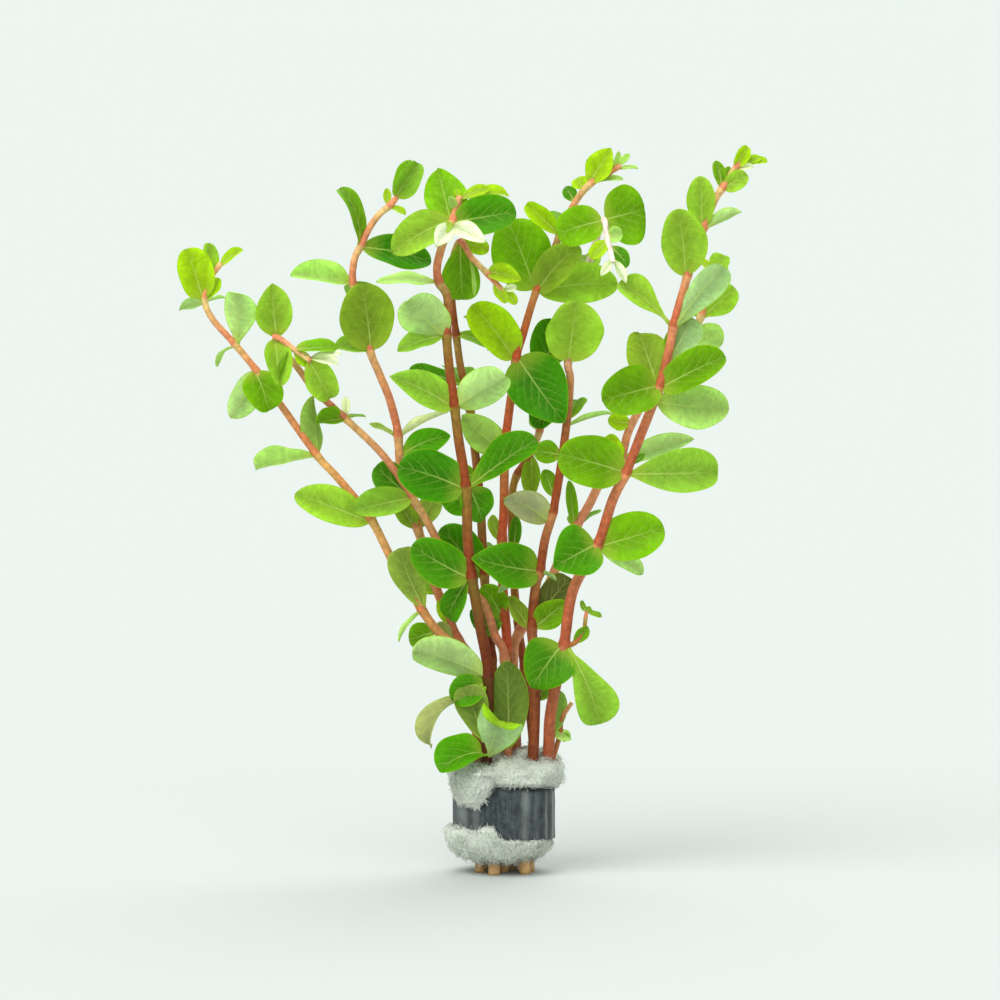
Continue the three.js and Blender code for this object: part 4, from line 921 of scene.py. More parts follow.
def leaf_mesh(stem, leaf):
    """Points (m), faces and the blade's own measures for one leaf."""
    _, _, width, _, bend, fold, words = leaf
    words = words.split()
    tone, outline, habit = words + ["oval", "flat"][len(words) - 1 :]
    base, length, forward, sideways, up = leaf_frame(stem, leaf)
    chance = leaf_chance()
    u, v = blade_grid(width)
    half = blade_half_width(u, width, outline)
    bulge = 0.05 * np.sign(v) * np.sin(3 * u + chance["phases"][1])
    half = half * (1 + 0.02 * np.sin(9 * u + chance["phases"][0]) + bulge)
    lift = math.radians(fold + chance["lift"])
    rise = blade_relief(u, v, half, length, width, lift, chance)
    thick = blade_thickness(u, v, half)
    curl = math.radians(LEAF_HABITS[habit] or chance["curl"])
    slope, ahead, height = walk_midrib(u, length, math.radians(max(bend, 1)), curl)
    sway = chance["sway"] * length * np.sin(math.pi * u)
    twist = math.radians(chance["twist"]) * (u - 0.2)
    over = v * half * math.cos(lift)

    def placed(level):
        flat = over * np.cos(twist) - level * np.sin(twist)
        tall = over * np.sin(twist) + level * np.cos(twist)
        on = (ahead + tall * np.sin(slope))[..., None] * forward
        risen = (height + tall * np.cos(slope))[..., None] * up
        return base + on + risen + (flat + sway)[..., None] * sideways

    def both_sides(grid):
        """Upper side, then the lower one backwards without the margins, which are shared."""
        return np.concatenate([grid, grid[:, -2:0:-1]], axis=1).ravel()

    upper, lower = placed(rise + 0.32 * thick), placed(rise - 0.68 * thick)
    loops = np.concatenate([upper, lower[:, -2:0:-1]], axis=1)
    stations, count = loops.shape[:2]
    whole = 0 * v * u
    along_mm, across_mm, half_mm = u * length + whole, v * half + whole, half + whole
    mm = np.stack([both_sides(grid) for grid in (along_mm, across_mm, half_mm)], 1)
    shares = (u + whole, v + whole, half_vein_gap(width) + whole)
    shares = np.stack([both_sides(grid) for grid in shares], 1)
    is_upper = np.arange(count) < v.shape[1]
    on_top = np.tile(is_upper.astype(float), stations)
    shade = [chance["shade"]] * 3 + [1]
    colours = [np.array(linear(c)) * shade for c in LEAF_TONES[tone]]
    tiled = [np.tile(colour, (stations * count, 1)) for colour in colours]
    return loops.reshape(-1, 3) * MM, loop_faces(stations, count), mm, shares, on_top, *tiled


print("a wide leaf has", [grid.size for grid in blade_grid(10)], "stations and lanes")

# %% [markdown]
# One object can hold one leaf or many small ones. The margins are creased: without that
# the smooth shading would run round the sharp edge and darken it.


# %% Leaves as an object
def leaves_object(name, meshes):
    points, faces, mm, shares, on_top, upper, lower = join_parts(meshes)
    measures = [
        ("blade_mm", "FLOAT_VECTOR", mm),
        ("blade_share", "FLOAT_VECTOR", shares),
        ("upper_side", "FLOAT", on_top),
        ("upper_colour", "FLOAT_COLOR", upper),
        ("lower_colour", "FLOAT_COLOR", lower),
    ]
    piece = mesh_object(name, points, faces, LEAF, measures)
    ends = np.empty(2 * len(piece.data.edges), int)
    piece.data.edges.foreach_get("vertices", ends)
    on_margin = np.abs(shares[:, 1]) > 0.999
    creased = on_margin[ends.reshape(-1, 2)].all(axis=1)
    piece.data.attributes.new("sharp_edge", "BOOLEAN", "EDGE").data.foreach_set("value", creased)
    return piece


print("leaves to come:", sum(len(s["leaves"]) for s in [*STEMS.values(), *SIDE_SHOOTS]))

# %% [markdown]
# ## Stem skin
# The stems are soft, juicy and half see-through, with a smooth skin and no bark.
# Each stretch between two nodes is olive-tan at its top and turns red lower down, with
# fine lines running along it, and light that enters comes out again a little redder
# beside the place where it went in. The share of the stretch travels on the mesh, so the
# colour follows the real nodes. Wet plant tissue has an IOR of about 1.4.

# %% Stem material
STREAK_LENGTH = 3.79  # mm
STREAKS_ACROSS = 6.6  # from a stem's middle to its edge, so a streak is about 0.2 mm wide
STEM_SPECKLE = 1.11  # mm: the real specks are finer, and would not show
REDDENING = (1.2 * MM, 0.6 * MM, 0.3 * MM)  # how far red, green and blue light gets inside


def stem_material():
    rod = new_material("juicy_stem")
    lower = add_node(rod, "Attribute", attribute_name="red_colour").outputs["Color"]
    upper = add_node(rod, "Attribute", attribute_name="tan_colour").outputs["Color"]
    measure = add_node(rod, "Attribute", attribute_name="stem_measure").outputs["Vector"]
    across, along, stretch = add_node(rod, "SeparateXYZ", {"Vector": measure}).outputs
    streaks = add_node(rod, "CombineXYZ", {"X": across, "Y": along}).outputs[0]
    streak = add_node(
        rod, "TexNoise", {"Vector": streaks, "Scale": 1, "Detail": 4, "Roughness": 0.6}
    ).outputs["Fac"]
    shift = add_node(
        rod, "MapRange",
        {"Value": streak, "From Min": 0.3, "From Max": 0.7, "To Min": -0.22, "To Max": 0.22},
    ).outputs[0]
    blend = add_node(rod, "Math", {0: stretch, 1: shift}, operation="ADD").outputs[0]
    blend = add_node(
        rod, "MapRange",
        {"Value": blend, "From Min": 0.15, "From Max": 1.1},
        interpolation_type="SMOOTHSTEP",
    ).outputs[0]
    colour = add_node(rod, "Mix", {0: blend, 6: lower, 7: upper}, data_type="RGBA").outputs[2]
    place = add_node(rod, "NewGeometry").outputs["Position"]
    speck = add_node(
        rod, "TexNoise", {"Vector": place, "Scale": 1 / (STEM_SPECKLE * MM), "Detail": 2}
    ).outputs["Fac"]
    light = add_node(
        rod, "MapRange",
        {"Value": speck, "From Min": 0.3, "From Max": 0.72, "To Min": 0.92, "To Max": 1.5},
    ).outputs[0]
    mottled = add_node(rod, "HueSaturation", {"Value": light, "Color": colour}).outputs[0]
    bump = add_node(
        rod, "Bump", {"Height": streak, "Strength": 0.35, "Distance": 0.2 * MM}
    ).outputs[0]
    skin = add_node(
        rod, "BsdfPrincipled",
        {
            "Base Color": mottled, "Roughness": 0.42, "IOR": 1.4, "Specular IOR Level": 0.2,
            "Subsurface Weight": 0.15, "Subsurface Radius": REDDENING, "Normal": bump,
        },
    )
    add_node(rod, "OutputMaterial", {"Surface": skin.outputs[0]})
    return rod


STEM = stem_material()
print("stem material:", len(STEM.node_tree.nodes), "nodes")

# %% [markdown]
# ## Stems
# A stem is a round rod swept along its route, with a low ring at each node where the
# leaves sit, a slight waist just above the ring, and a flat cut end at the foot. Rings of
# points about a millimetre apart are enough for its slow bends. First comes where the
# rings go, measured along the stem itself, and where the nodes are among them.

# %% Rings along a stem
RING_PITCH = 0.9  # mm
NODE_SWELLING = 1.18  # times the stem's radius


def stem_rings(stem):
    """Ring places as point numbers and as mm from the foot, and the nodes' mm."""
    last = len(stem["route"]) - 1
    fine = along_route(stem["route"], np.linspace(0, last, 40 * last + 1))[0]
    walked = np.concatenate([[0], np.cumsum(np.linalg.norm(np.diff(fine, axis=0), axis=1))])
    rings = int(walked[-1] / RING_PITCH) + 2
    run = np.linspace(0, walked[-1], rings)
    numbers = np.linspace(0, last, len(walked))
    return np.interp(run, walked, numbers), run, np.interp(stem["nodes"], numbers, walked)


def share_of_stretch(run, node_run):
    """How far each ring is from the node below it, 0, to the next one, 1."""
    marks = np.concatenate([[0], node_run, [run[-1] + 4]])
    below = np.searchsorted(marks, run, side="right") - 1
    stretch = (run - marks[below]) / (marks[below + 1] - marks[below])
    stretch[below == 0] *= 0.6  # the lowest stretch is redder all along
    return stretch


def node_swelling(run, node_run):
    swelling = np.ones(len(run))
    for node in node_run:
        ring = np.exp(-(((run - node) / 1.1) ** 2))
        waist = np.exp(-(((run - node - 2.2) / 0.9) ** 2))
        swelling += (NODE_SWELLING - 1) * ring - 0.05 * waist
    return swelling


for letter, stem in STEMS.items():
    print("stem", letter, "is", round(stem_rings(stem)[1][-1]), "mm long")

# %% [markdown]
# A stem's two colours change along it as well. The foot below the floss is bleached, the
# part above it, among the lower leaves, is darkened with painted shade, and the youngest
# part near the tip is pink and yellow.

# %% Stem colours
YOUNG_STEM = ("#d98a64", "#d4bc7c")  # near the tip: above a node, and below the next
STEM_FOOT = "#b89464"
# Brightness of the painted shade on a stem's lowest part, where the stem gives none of its own.
SHADED_STEM_BRIGHTNESS = 0.75


def stem_colours(stem, tipward, height):
    """The colours above and below a node, at each point. Height is in mm."""
    young = 0.85 * smooth(tipward, 0.62, 0.96)[:, None]
    foot = 1 - smooth(height, 3, 9)[:, None]
    lowest = stem.get("lowest", SHADED_STEM_BRIGHTNESS)
    # Painted shade: the stem is darker low down, among the lower leaves, and reaches its full colour by
    # 90 mm.
    shaded = lowest + (1 - lowest) * smooth(height, 26, 90)[:, None]
    colours = []
    for old, new in zip(stem["colours"], stem.get("young", YOUNG_STEM)):
        colour = shaded * np.array(linear(old)) * (1 - young) + np.array(linear(new)) * young
        colours.append(colour * (1 - foot) + np.array(linear(STEM_FOOT)) * foot)
    return colours


foot_colour = stem_colours(STEMS["a"], np.zeros(1), np.zeros(1))[0][0]
print("a stem's foot in linear light:", foot_colour[:3].round(2))

# %% [markdown]
# Now the rod itself: sixteen points round each ring, square to the route, with four faint
# edges, because a cut stem of this plant is not quite round.

# %% Stem mesh
STEM_SIDES = 16


def stem_mesh(stem):
    """Points (m), faces, streak measures and two colours for one rod."""
    at, run, node_run = stem_rings(stem)
    place, way = along_route(stem["route"], at)
    radius = stem_radius(stem, at) * node_swelling(run, node_run)
    across = np.cross([0.0, 1.0, 0.0], way)
    across /= np.linalg.norm(across, axis=1)[:, None]
    back = np.cross(across, way)
    turn = np.linspace(0, 2 * math.pi, STEM_SIDES, endpoint=False)
    uneven = 0.015 * rng.standard_normal((1, STEM_SIDES))
    ribs = 1 + 0.03 * np.cos(4 * turn)[None, :] + uneven  # four faint edges
    ring = radius[:, None] * ribs
    spokes = np.cos(turn)[None, :, None] * across[:, None] + np.sin(turn)[None, :, None] * back[:, None]
    points = (place[:, None] + ring[..., None] * spokes).reshape(-1, 3) * MM
    rings = len(run)
    faces = [face[::-1] for face in loop_faces(rings, STEM_SIDES)]
    streak_across = np.tile(STREAKS_ACROSS * np.cos(turn), rings)
    per_ring = (run / STREAK_LENGTH, share_of_stretch(run, node_run), at / (len(stem["route"]) - 1))
    streak_along, stretch, tipward = (np.repeat(values, STEM_SIDES) for values in per_ring)
    measure = np.stack([streak_across, streak_along, stretch], 1)
    height = np.repeat(place[:, 2], STEM_SIDES)
    return points, faces, measure, *stem_colours(stem, tipward, height)


def stem_object(name, meshes):
    points, faces, measure, red, tan = join_parts(meshes)
    measures = [
        ("stem_measure", "FLOAT_VECTOR", measure),
        ("red_colour", "FLOAT_COLOR", red),
        ("tan_colour", "FLOAT_COLOR", tan),
    ]
    return mesh_object(name, points, faces, STEM, measures)


print("a rod has", STEM_SIDES, "sides and a ring every", RING_PITCH, "mm")

# %% [markdown]
# ## Dressing the stems
# Each large leaf has a solid of its own, and its blade stands in for that one. The small
# leaves are part of the stem's solid, so they form one object, and the rod another, which
# take the stem's place together. Stem b also carries the side shoots.

# %% Dress the stems and their leaves
for letter, stem in STEMS.items():
    rods = [stem_mesh(stem)]
    small = []
    if letter == "b":
        for shoot in SIDE_SHOOTS:
            rods.append(stem_mesh(shoot))
            small += [leaf_mesh(shoot, leaf) for leaf in shoot["leaves"]]
    for number, leaf in enumerate(stem["leaves"], 1):
        solid = f"leaf_{letter}{number}"
        if solid in nodes:
            blade = leaves_object(f"blade_{letter}{number}", [leaf_mesh(stem, leaf)])
            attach(blade, "root")
            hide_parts(solid)
        else:
            small.append(leaf_mesh(stem, leaf))
    rod = stem_object("rod_" + letter, rods)
    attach(rod, "root")
    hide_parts("stem_" + letter)
    leaflets = leaves_object("leaflets_" + letter, small)
    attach(leaflets, "root")
    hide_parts("stem_" + letter)
    print("stem", letter, "rods:", len(rods), "leaflets:", len(small))

# %% [markdown]
# ## The lead strip
# Plant weights are cut from thin soft lead and bent round by hand. The strip is swept
# round the same spiral as its solid: a little more than one turn, rising as it goes, so
# that its outer end lies over its inner one with a step below. It is squashed a little,
# as a band closed by finger and thumb is.

# %% Strip path
STRIP_WIDTH, STRIP_THICK = 11.4, 1.0
STRIP_RADIUS = 11.6
STRIP_START, STRIP_TURN = -98, 385  # degrees, seen from above
STRIP_CENTRE_X = 0.2
STRIP_BOTTOM = [(0, 9), (98, 7.5), (188, 8.6), (278, 10.2), (360, 10.7), (STRIP_TURN, 10.8)]


def strip_bottom(turned):
    """Height of the lower edge after some degrees of turning."""
    return np.interp(turned, *zip(*STRIP_BOTTOM))


def strip_radius(turned):
    """Radius of the outer face: squashed a little, and drawn in under its own outer end."""
    squashed = STRIP_RADIUS + 0.25 * np.cos(np.radians(2 * turned - 40))
    return squashed - 1.3 * smooth(turned, 312, 356)


middle = strip_radius(np.linspace(0, STRIP_TURN, STRIP_TURN + 1)).mean() - STRIP_THICK / 2
print("the strip laid flat is", round(math.radians(STRIP_TURN) * middle, 1), "mm long")

# %% [markdown]
# ## Tarnished lead
# Lead is a dull metal: cast, rolled thin and cut with shears. In air and water it
# tarnishes to slate grey, darkest along its upper rim. Broad pale bands up the strip are
# painted highlights, standing in for the reflections of the room in its bent face. To the
# eye that is a half-rough metal with faint marks drawn up and down it, the way it was
# pushed. It keeps the default IOR, as a metal does.

# %% Lead material
SCRATCH_SIZE = (0.7, 4.8)  # mm across and up the strip
TARNISH_PATCH = 1.82  # mm
LEAD_GRIT = 0.2  # mm


def lead_material():
    lead = new_material("tarnished_lead")
    strip_mm = add_node(lead, "Attribute", attribute_name="strip_mm").outputs["Vector"]
    _, level, painted_sheen = add_node(lead, "SeparateXYZ", {"Vector": strip_mm}).outputs
    drawn = add_node(
        lead, "Mapping",
        {"Vector": strip_mm, "Scale": (1 / SCRATCH_SIZE[0], 1 / SCRATCH_SIZE[1], 1.3)},
    ).outputs[0]
    drag = add_node(
        lead, "TexNoise", {"Vector": drawn, "Scale": 1, "Detail": 5, "Roughness": 0.65}
    ).outputs["Fac"]
    patch = add_node(
        lead, "TexNoise",
        {"Vector": strip_mm, "Scale": 1 / TARNISH_PATCH, "Detail": 4, "Roughness": 0.6},
    ).outputs["Fac"]
    grit = add_node(
        lead, "TexNoise", {"Vector": strip_mm, "Scale": 1 / LEAD_GRIT, "Detail": 3}
    ).outputs["Fac"]

    both = add_node(lead, "Math", {0: drag, 1: patch}, operation="ADD").outputs[0]
    both = add_node(lead, "Math", {0: both, 1: 0.5}, operation="MULTIPLY").outputs[0]
    tarnish = add_node(lead, "ValToRGB", {"Fac": both})
    stops = zip(tarnish.color_ramp.elements, (0.4, 0.62), ("#343a3c", "#5a6466"))
    for stop, position, colour in stops:
        stop.position = position
        stop.color = linear(colour)
    # Painted highlights: pale bands where the bent face would catch the light.
    pale = add_node(
        lead, "Mix", {0: painted_sheen, 6: tarnish.outputs[0], 7: linear("#b2bab6")}, data_type="RGBA"
    ).outputs[2]
    # Darker along the upper rim, in broken patches.
    rim = add_node(
        lead, "MapRange",
        {"Value": level, "From Min": STRIP_WIDTH - 1.1, "From Max": STRIP_WIDTH - 0.35},
    ).outputs[0]
    rim_patches = add_node(lead, "MapRange", {"Value": grit, "From Min": 0.3, "From Max": 0.6}).outputs[0]
    rim = add_node(lead, "Math", {0: rim, 1: rim_patches}, operation="MULTIPLY").outputs[0]
    colour = add_node(lead, "Mix", {0: rim, 6: pale, 7: linear("#141819")}, data_type="RGBA").outputs[2]

    height = add_node(lead, "Math", {0: drag, 1: grit}, operation="ADD").outputs[0]
    bump = add_node(lead, "Bump", {"Height": height, "Strength": 0.4, "Distance": 0.15 * MM}).outputs[0]
    rough = add_node(
        lead, "MapRange",
        {"Value": patch, "From Min": 0.3, "From Max": 0.7, "To Min": 0.38, "To Max": 0.6},
    ).outputs[0]
    metal = add_node(
        lead, "BsdfPrincipled",
        {"Base Color": colour, "Metallic": 0.85, "Roughness": rough, "Normal": bump},
    )
    add_node(lead, "OutputMaterial", {"Surface": metal.outputs[0]})
    return lead


LEAD = lead_material()
print("lead material:", len(LEAD.node_tree.nodes), "nodes")

# %% [markdown]
# ## Dents
# Soft lead keeps every knock. Blender's noise gives smooth random numbers in space: read
# with a large scale it gives dents a few millimetres across, and with a small one the
# ragged line where the upper rim was cut. The same numbers come each time, because each
# use shifts the noise by a fixed amount.

# %% Strip mesh
STRIP_STATIONS, STRIP_ROWS = 270, 26
STRIP_EDGE = [(0.04, 0.42), (0, 0.22), (0, -0.22), (0.04, -0.42)]  # mm in, share of thickness
# Painted highlights on the lead, as broad pale bands.
STRIP_HIGHLIGHTS = [  # bearing in degrees, half width in degrees, how much paler
    (-146, 9, 0.8), (-124, 5, 0.35), (-66, 5, 0.5), (-52, 3, 0.2), (-36, 2, 0.6),
    (-18, 4, 0.6), (15, 8, 0.5), (60, 6, 0.4), (105, 9, 0.6), (150, 5, 0.5),
]


def rough_field(points, scale, seed):
    """Smooth random numbers from -1 to 1 at points (mm) with lumps about scale mm wide."""
    shift = Vector((seed * 7.3, seed * 3.1, seed * 5.7))
    flat = np.reshape(points, (-1, 3))
    values = np.array([noise.noise(Vector(point) / scale + shift) for point in flat])
    return values.reshape(np.shape(points)[:-1])


def strip_section():
    """The closed section: heights (mm) up the strip, and depths as shares of thickness."""
    rows = np.linspace(0.14, STRIP_WIDTH - 0.14, STRIP_ROWS)
    section = [(row, 0.5) for row in rows] + [(STRIP_WIDTH - low, depth) for low, depth in STRIP_EDGE]
    section += [(row, -0.5) for row in rows[::-1]] + [(low, -depth) for low, depth in STRIP_EDGE]
    return (np.array(column)[None, :] for column in zip(*section))


def strip_painted_sheen(angle, on_face):
    """How much painted highlight lies on the tarnish, 0 to 1: broad bands, broken up by noise."""
    bearing = (np.degrees(angle) + 180) % 360 - 180
    sheen_sum = sum(s * np.exp(-(((bearing - at) / half) ** 2)) for at, half, s in STRIP_HIGHLIGHTS)
    return np.clip(sheen_sum * (0.75 + 0.5 * rough_field(on_face, 4, 6)), 0, 1)


def strip_mesh():
    level, depth = strip_section()
    turned = np.linspace(0, STRIP_TURN, STRIP_STATIONS)[:, None]
    run = np.radians(turned) * STRIP_RADIUS
    angle = np.radians(STRIP_START + turned)
    on_face = np.stack(np.broadcast_arrays(run, level, 0 * run), 2)
    dents = 0.16 * rough_field(on_face, 3.2, 1) + 0.05 * rough_field(on_face, 1.1, 2)
    inside = smooth(turned, 0, 20) * (1 - 0.7 * smooth(turned, 340, 360))
    middle_radius = strip_radius(turned) - STRIP_THICK / 2
    radius = middle_radius + depth * STRIP_THICK + dents * (0.3 + 0.7 * inside)
    ragged = 0.22 * rough_field(on_face, 0.9, 3) - 0.12 * np.abs(rough_field(on_face, 0.45, 4))
    height = strip_bottom(turned) + level
    height = height + ragged * smooth(level, STRIP_WIDTH - 1.4, STRIP_WIDTH)
    height = height + 0.12 * rough_field(on_face, 2.2, 5) * (1 - smooth(level, 0, 1.5))
    x, y = STRIP_CENTRE_X + radius * np.cos(angle), radius * np.sin(angle)
    points = np.stack([x, y, height], 2)
    # The third measure carries the painted highlights to the material.
    on_face[..., 2] = 0.85 * strip_painted_sheen(angle, on_face)
    faces = loop_faces(*points.shape[:2])
    measures = [("strip_mm", "FLOAT_VECTOR", on_face)]
    return mesh_object("bent_strip", points.reshape(-1, 3) * MM, faces, LEAD, measures)


strip = strip_mesh()
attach(strip, "root")
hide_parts("lead_strip")
print("strip:", len(strip.data.polygons), "faces")

# %% [markdown]
# ## Floss
# The packing is filter floss: polyester drawn into hair-thin fibres, crimped and blown
# into a mat. One fibre is clear as glass, but many together scatter the light and look
# white. The grey-green of the hollows between the clumps is painted shade, and the faint
# green over all of it is painted light thrown back by the leaves. Real fibres are about
# 0.03 mm thick.
# The ones drawn here are two to five times that, so that each still shows. Brown soil
# gathers where the stems go in.

# %% Floss material
FLOSS_CLUMP = 0.667  # mm, of the hollows between clumps and of the specks of soil


def floss_material():
    floss = new_material("wet_floss")
    place = add_node(floss, "NewGeometry").outputs["Position"]
    soil = add_node(floss, "Attribute", attribute_name="soil").outputs["Fac"]
    tint = add_node(floss, "Attribute", attribute_name="tint").outputs["Fac"]
    clump_scale = 1 / (FLOSS_CLUMP * MM)
    clump = add_node(
        floss, "TexNoise", {"Vector": place, "Scale": clump_scale, "Detail": 3, "Roughness": 0.7}
    ).outputs["Fac"]
    # Painted shade: the hollows between the clumps are grey-green, the clumps white.
    painted_hollow_shade = add_node(floss, "MapRange", {"Value": clump, "From Min": 0.42, "From Max": 0.54}).outputs[0]
    speck = add_node(
        floss, "TexNoise", {"Vector": place, "Scale": clump_scale, "Detail": 2}
    ).outputs["Fac"]
    dirt = add_node(floss, "MapRange", {"Value": speck, "From Min": 0.38, "From Max": 0.6}).outputs[0]
    dirt = add_node(floss, "Math", {0: dirt, 1: soil}, operation="MULTIPLY").outputs[0]
    # The grey-green base is painted shade in the hollows, and the faint green of the whites is painted
    # light thrown back by the leaves.
    colour = linear("#cfe2cb")
    for amount, over in ((painted_hollow_shade, "#fafff4"), (tint, "#fbfff6"), (dirt, "#7a6238")):
        colour = add_node(
            floss, "Mix", {0: amount, 6: colour, 7: linear(over)}, data_type="RGBA"
        ).outputs[2]
    bump = add_node(floss, "Bump", {"Height": clump, "Strength": 0.6, "Distance": 0.3 * MM}).outputs[0]
    body = add_node(
        floss, "BsdfPrincipled",
        {"Base Color": colour, "Roughness": 0.38, "IOR": 1.45, "Normal": bump},
    )
    through = add_node(floss, "BsdfTranslucent", {"Color": colour})
    mixed = add_node(floss, "MixShader", {0: 0.06, 1: body.outputs[0], 2: through.outputs[0]})
    add_node(floss, "OutputMaterial", {"Surface": mixed.outputs[0]})
    return floss


FLOSS = floss_material()
print("floss material:", len(FLOSS.node_tree.nodes), "nodes")

# %% [markdown]
# ## The body of the floss
# A lumpy plug gives the floss its body, as wide as the solid: a skirt under the strip and
# a collar above it, each with its waist inside the strip. One profile is turned round, and
# at each angle its points are counted from the ground, from the strip's lower edge or
# from the slanting top, so that the plug follows the spiral.

# %% Skirt and collar
WOOL_TOP = 25.4
WAIST = 8.7
SKIRT_ASIDE = 0.7  # the skirt sits a little to the left
FLOSS_REACH = 12
STEP_BEARING = 257  # just left of the strip's outer end
STEP_HEIGHT = STRIP_BOTTOM[-1][1] - STRIP_BOTTOM[0][1]
LIP, COLLAR_ROW = 4, 6  # the skirt's upper edge and the collar's first row in the profile
FLOSS_PROFILE = [  # radius, height, and what the height is counted from
    (0.2, 2.8, "ground"), (6, 3.2, "ground"), (9.4, 4.5, "ground"),
    (11.3, 7.2, "ground"), (11.5, -0.5, "strip"), (WAIST, -0.2, "strip"),
    (WAIST, STRIP_WIDTH + 0.2, "strip"), (12.2, STRIP_WIDTH + 1.1, "strip"), (12.6, -3.0, "top"),
    (11, -1.2, "top"), (7.5, 0.1, "top"), (0.2, 0.5, "top"),
]


def floss_outline(angle):
    """The profile at one angle: radius, 0 and height (mm) of each of its points."""
    turned = (math.degrees(angle) - STRIP_START) % 360
    outline = []
    for row, (r, height, follows) in enumerate(FLOSS_PROFILE):
        if r > 10.5:  # the outside is lumpy
            r += 0.35 * math.sin(3 * angle + row) + 0.25 * math.sin(7 * angle - 1.6 * row + 1)
            r += 0.15 * math.sin(11 * angle + 3.4 * row + 2)
        x, y = r * math.cos(angle), r * math.sin(angle)
        top = WOOL_TOP + 0.11 * x + 0.1 * y + 0.3 * math.sin(0.9 * x + 1) * math.cos(0.8 * y)
        if row == LIP:  # it swells over the step at the strip's outer end
            swell = math.exp(-(((math.degrees(angle) - STEP_BEARING) / 10) ** 2))
            r, height = r + 0.9 * swell, height + 0.9 * swell
            height += STEP_HEIGHT * (1 - smooth(turned, 0, 14)) * (turned < 14)
        z = height + {"ground": 0, "strip": strip_bottom(turned), "top": top}[follows]
        if row > COLLAR_ROW:
            z = max(z, outline[-1][2] + 0.2)
        outline.append((r, 0, z))
    return outline


def floss_grid(first, last, rows, columns, aside=0):
    """Points (mm) of the lumpy plug between two rows of its profile."""
    grid = np.zeros((rows, columns, 3))
    for column, angle in enumerate(np.linspace(0, 2 * math.pi, columns, endpoint=False)):
        outline = floss_outline(angle)[first : last + 1]
        r, _, z = along_route(outline, np.linspace(0, last - first, rows))[0].T
        x = r * math.cos(angle) - aside * r / FLOSS_REACH
        grid[:, column] = np.stack([x, r * math.sin(angle), z], 1)
    return grid


skirt = floss_grid(0, LIP + 1, 44, 120, SKIRT_ASIDE)
collar = floss_grid(COLLAR_ROW, len(FLOSS_PROFILE) - 1, 40, 120)
print("skirt up to", skirt[..., 2].max().round(1), "mm, collar to", collar[..., 2].max().round(1))

# %% [markdown]
# ## The tuft
# At the front left a tuft of floss was pulled over the strip. It is a flattened ball laid
# on the strip's face: its lower edge follows a line read from the photograph, and its
# upper end sinks into the collar.

# %% Tuft
TUFT_TOP = 24.1
TUFT_BEARING = math.radians(-130)
TUFT_HALF_ARC = 0.53  # radians
TUFT_EDGE = [  # share of the half arc, height of the edge
    (-1, 18.6), (-0.5, 17.2), (0, 15.9), (0.35, 16.2), (0.7, 18.6), (1, 21.5),
]


def tuft_grid(rows, columns):
    """Points (mm) of the tuft that hangs over the strip."""
    pitch = np.linspace(-math.pi / 2, math.pi / 2, rows)[:, None]
    turn = np.linspace(0, 2 * math.pi, columns, endpoint=False)[None, :]
    full = np.cos(pitch) ** 0.5
    x, z, y = full * np.cos(turn), full * np.sin(-turn), np.sin(pitch) + 0 * turn
    sunk = 1.0 * smooth(y, 0.4, 1.0)
    radius, bearing = 11.5 + 1.6 * z - sunk, TUFT_BEARING + TUFT_HALF_ARC * x
    low = np.interp(x, *zip(*TUFT_EDGE)) + 0.4
    height = low + (TUFT_TOP - low) * (0.5 + 0.5 * y)
    return np.stack([radius * np.cos(bearing), radius * np.sin(bearing), height], 2)


tuft = tuft_grid(20, 36)
print("tuft from", tuft[..., 2].min().round(1), "to", tuft[..., 2].max().round(1), "mm")

# %% [markdown]
# ## Loose fibres
# Thousands of thin bent fibres lie on that body. Each one wanders over the surface by a
# random walk, a little above it, and some stray off it at their end, which is what breaks
# up the outline and catches small lights. A fibre becomes a three-sided tube, thinner at
# both ends: at this size nobody can count its sides.

# %% Paths of fibres
FIBRE_STEPS = 4
FIBRE_LIFT = 0.4  # mm over the body, at the most
FIBRE_STRAY = 1.5  # mm off the body at the end, for the most unruly


def grid_normals(grid):
    up = np.gradient(grid, axis=0)
    around = np.roll(grid, -1, axis=1) - np.roll(grid, 1, axis=1)
    normal = np.cross(around, up)
    return normal / np.maximum(np.linalg.norm(normal, axis=2, keepdims=True), 1e-9)


def between(values, below, above, left, right, up, over):
    """A grid's values between four of its points."""
    near = values[below, left] * (1 - up) + values[above, left] * up
    far = values[below, right] * (1 - up) + values[above, right] * up
    return near * (1 - over) + far * over


def fibres(grid, normals, count, length):
    """Paths (mm) of fibres that wander over a grid, with the grid's normals beside them."""
    rows, columns = grid.shape[:2]
    row = rng.uniform(1, rows - 2, count)
    column = rng.uniform(0, columns, count)
    heading = rng.uniform(0, 2 * math.pi, count)
    curl = rng.normal(0, 0.5, count)
    step = length * rng.uniform(0.5, 1.2, count) / FIBRE_STEPS
    lift = rng.uniform(0.0, FIBRE_LIFT, count)
    stray = rng.uniform(0, 1, count) ** 3 * FIBRE_STRAY
    path, out = [], []
    for k in range(FIBRE_STEPS + 1):
        share = k / FIBRE_STEPS
        below, left = row.astype(int), column.astype(int)
        up, over = (row - below)[:, None], (column - left)[:, None]
        above, right, left = np.minimum(below + 1, rows - 1), (left + 1) % columns, left % columns
        corners = (below, above, left, right, up, over)
        place, normal = between(grid, *corners), between(normals, *corners)
        high = lift * (0.4 + math.sin(math.pi * k / FIBRE_STEPS)) + stray * share**2
        path.append(place + normal * high[:, None])
        out.append(normal)
        heading += curl + rng.normal(0, 0.35, count)
        tall = np.linalg.norm(grid[above, left] - grid[below, left], axis=1) + 0.05
        wide = np.linalg.norm(grid[below, right] - grid[below, left], axis=1) + 0.05
        row = np.clip(row + step * np.sin(heading) / tall, 0.5, rows - 1.5)
        column = (column + step * np.cos(heading) / wide) % columns
    return np.stack(path, 1), np.stack(out, 1)


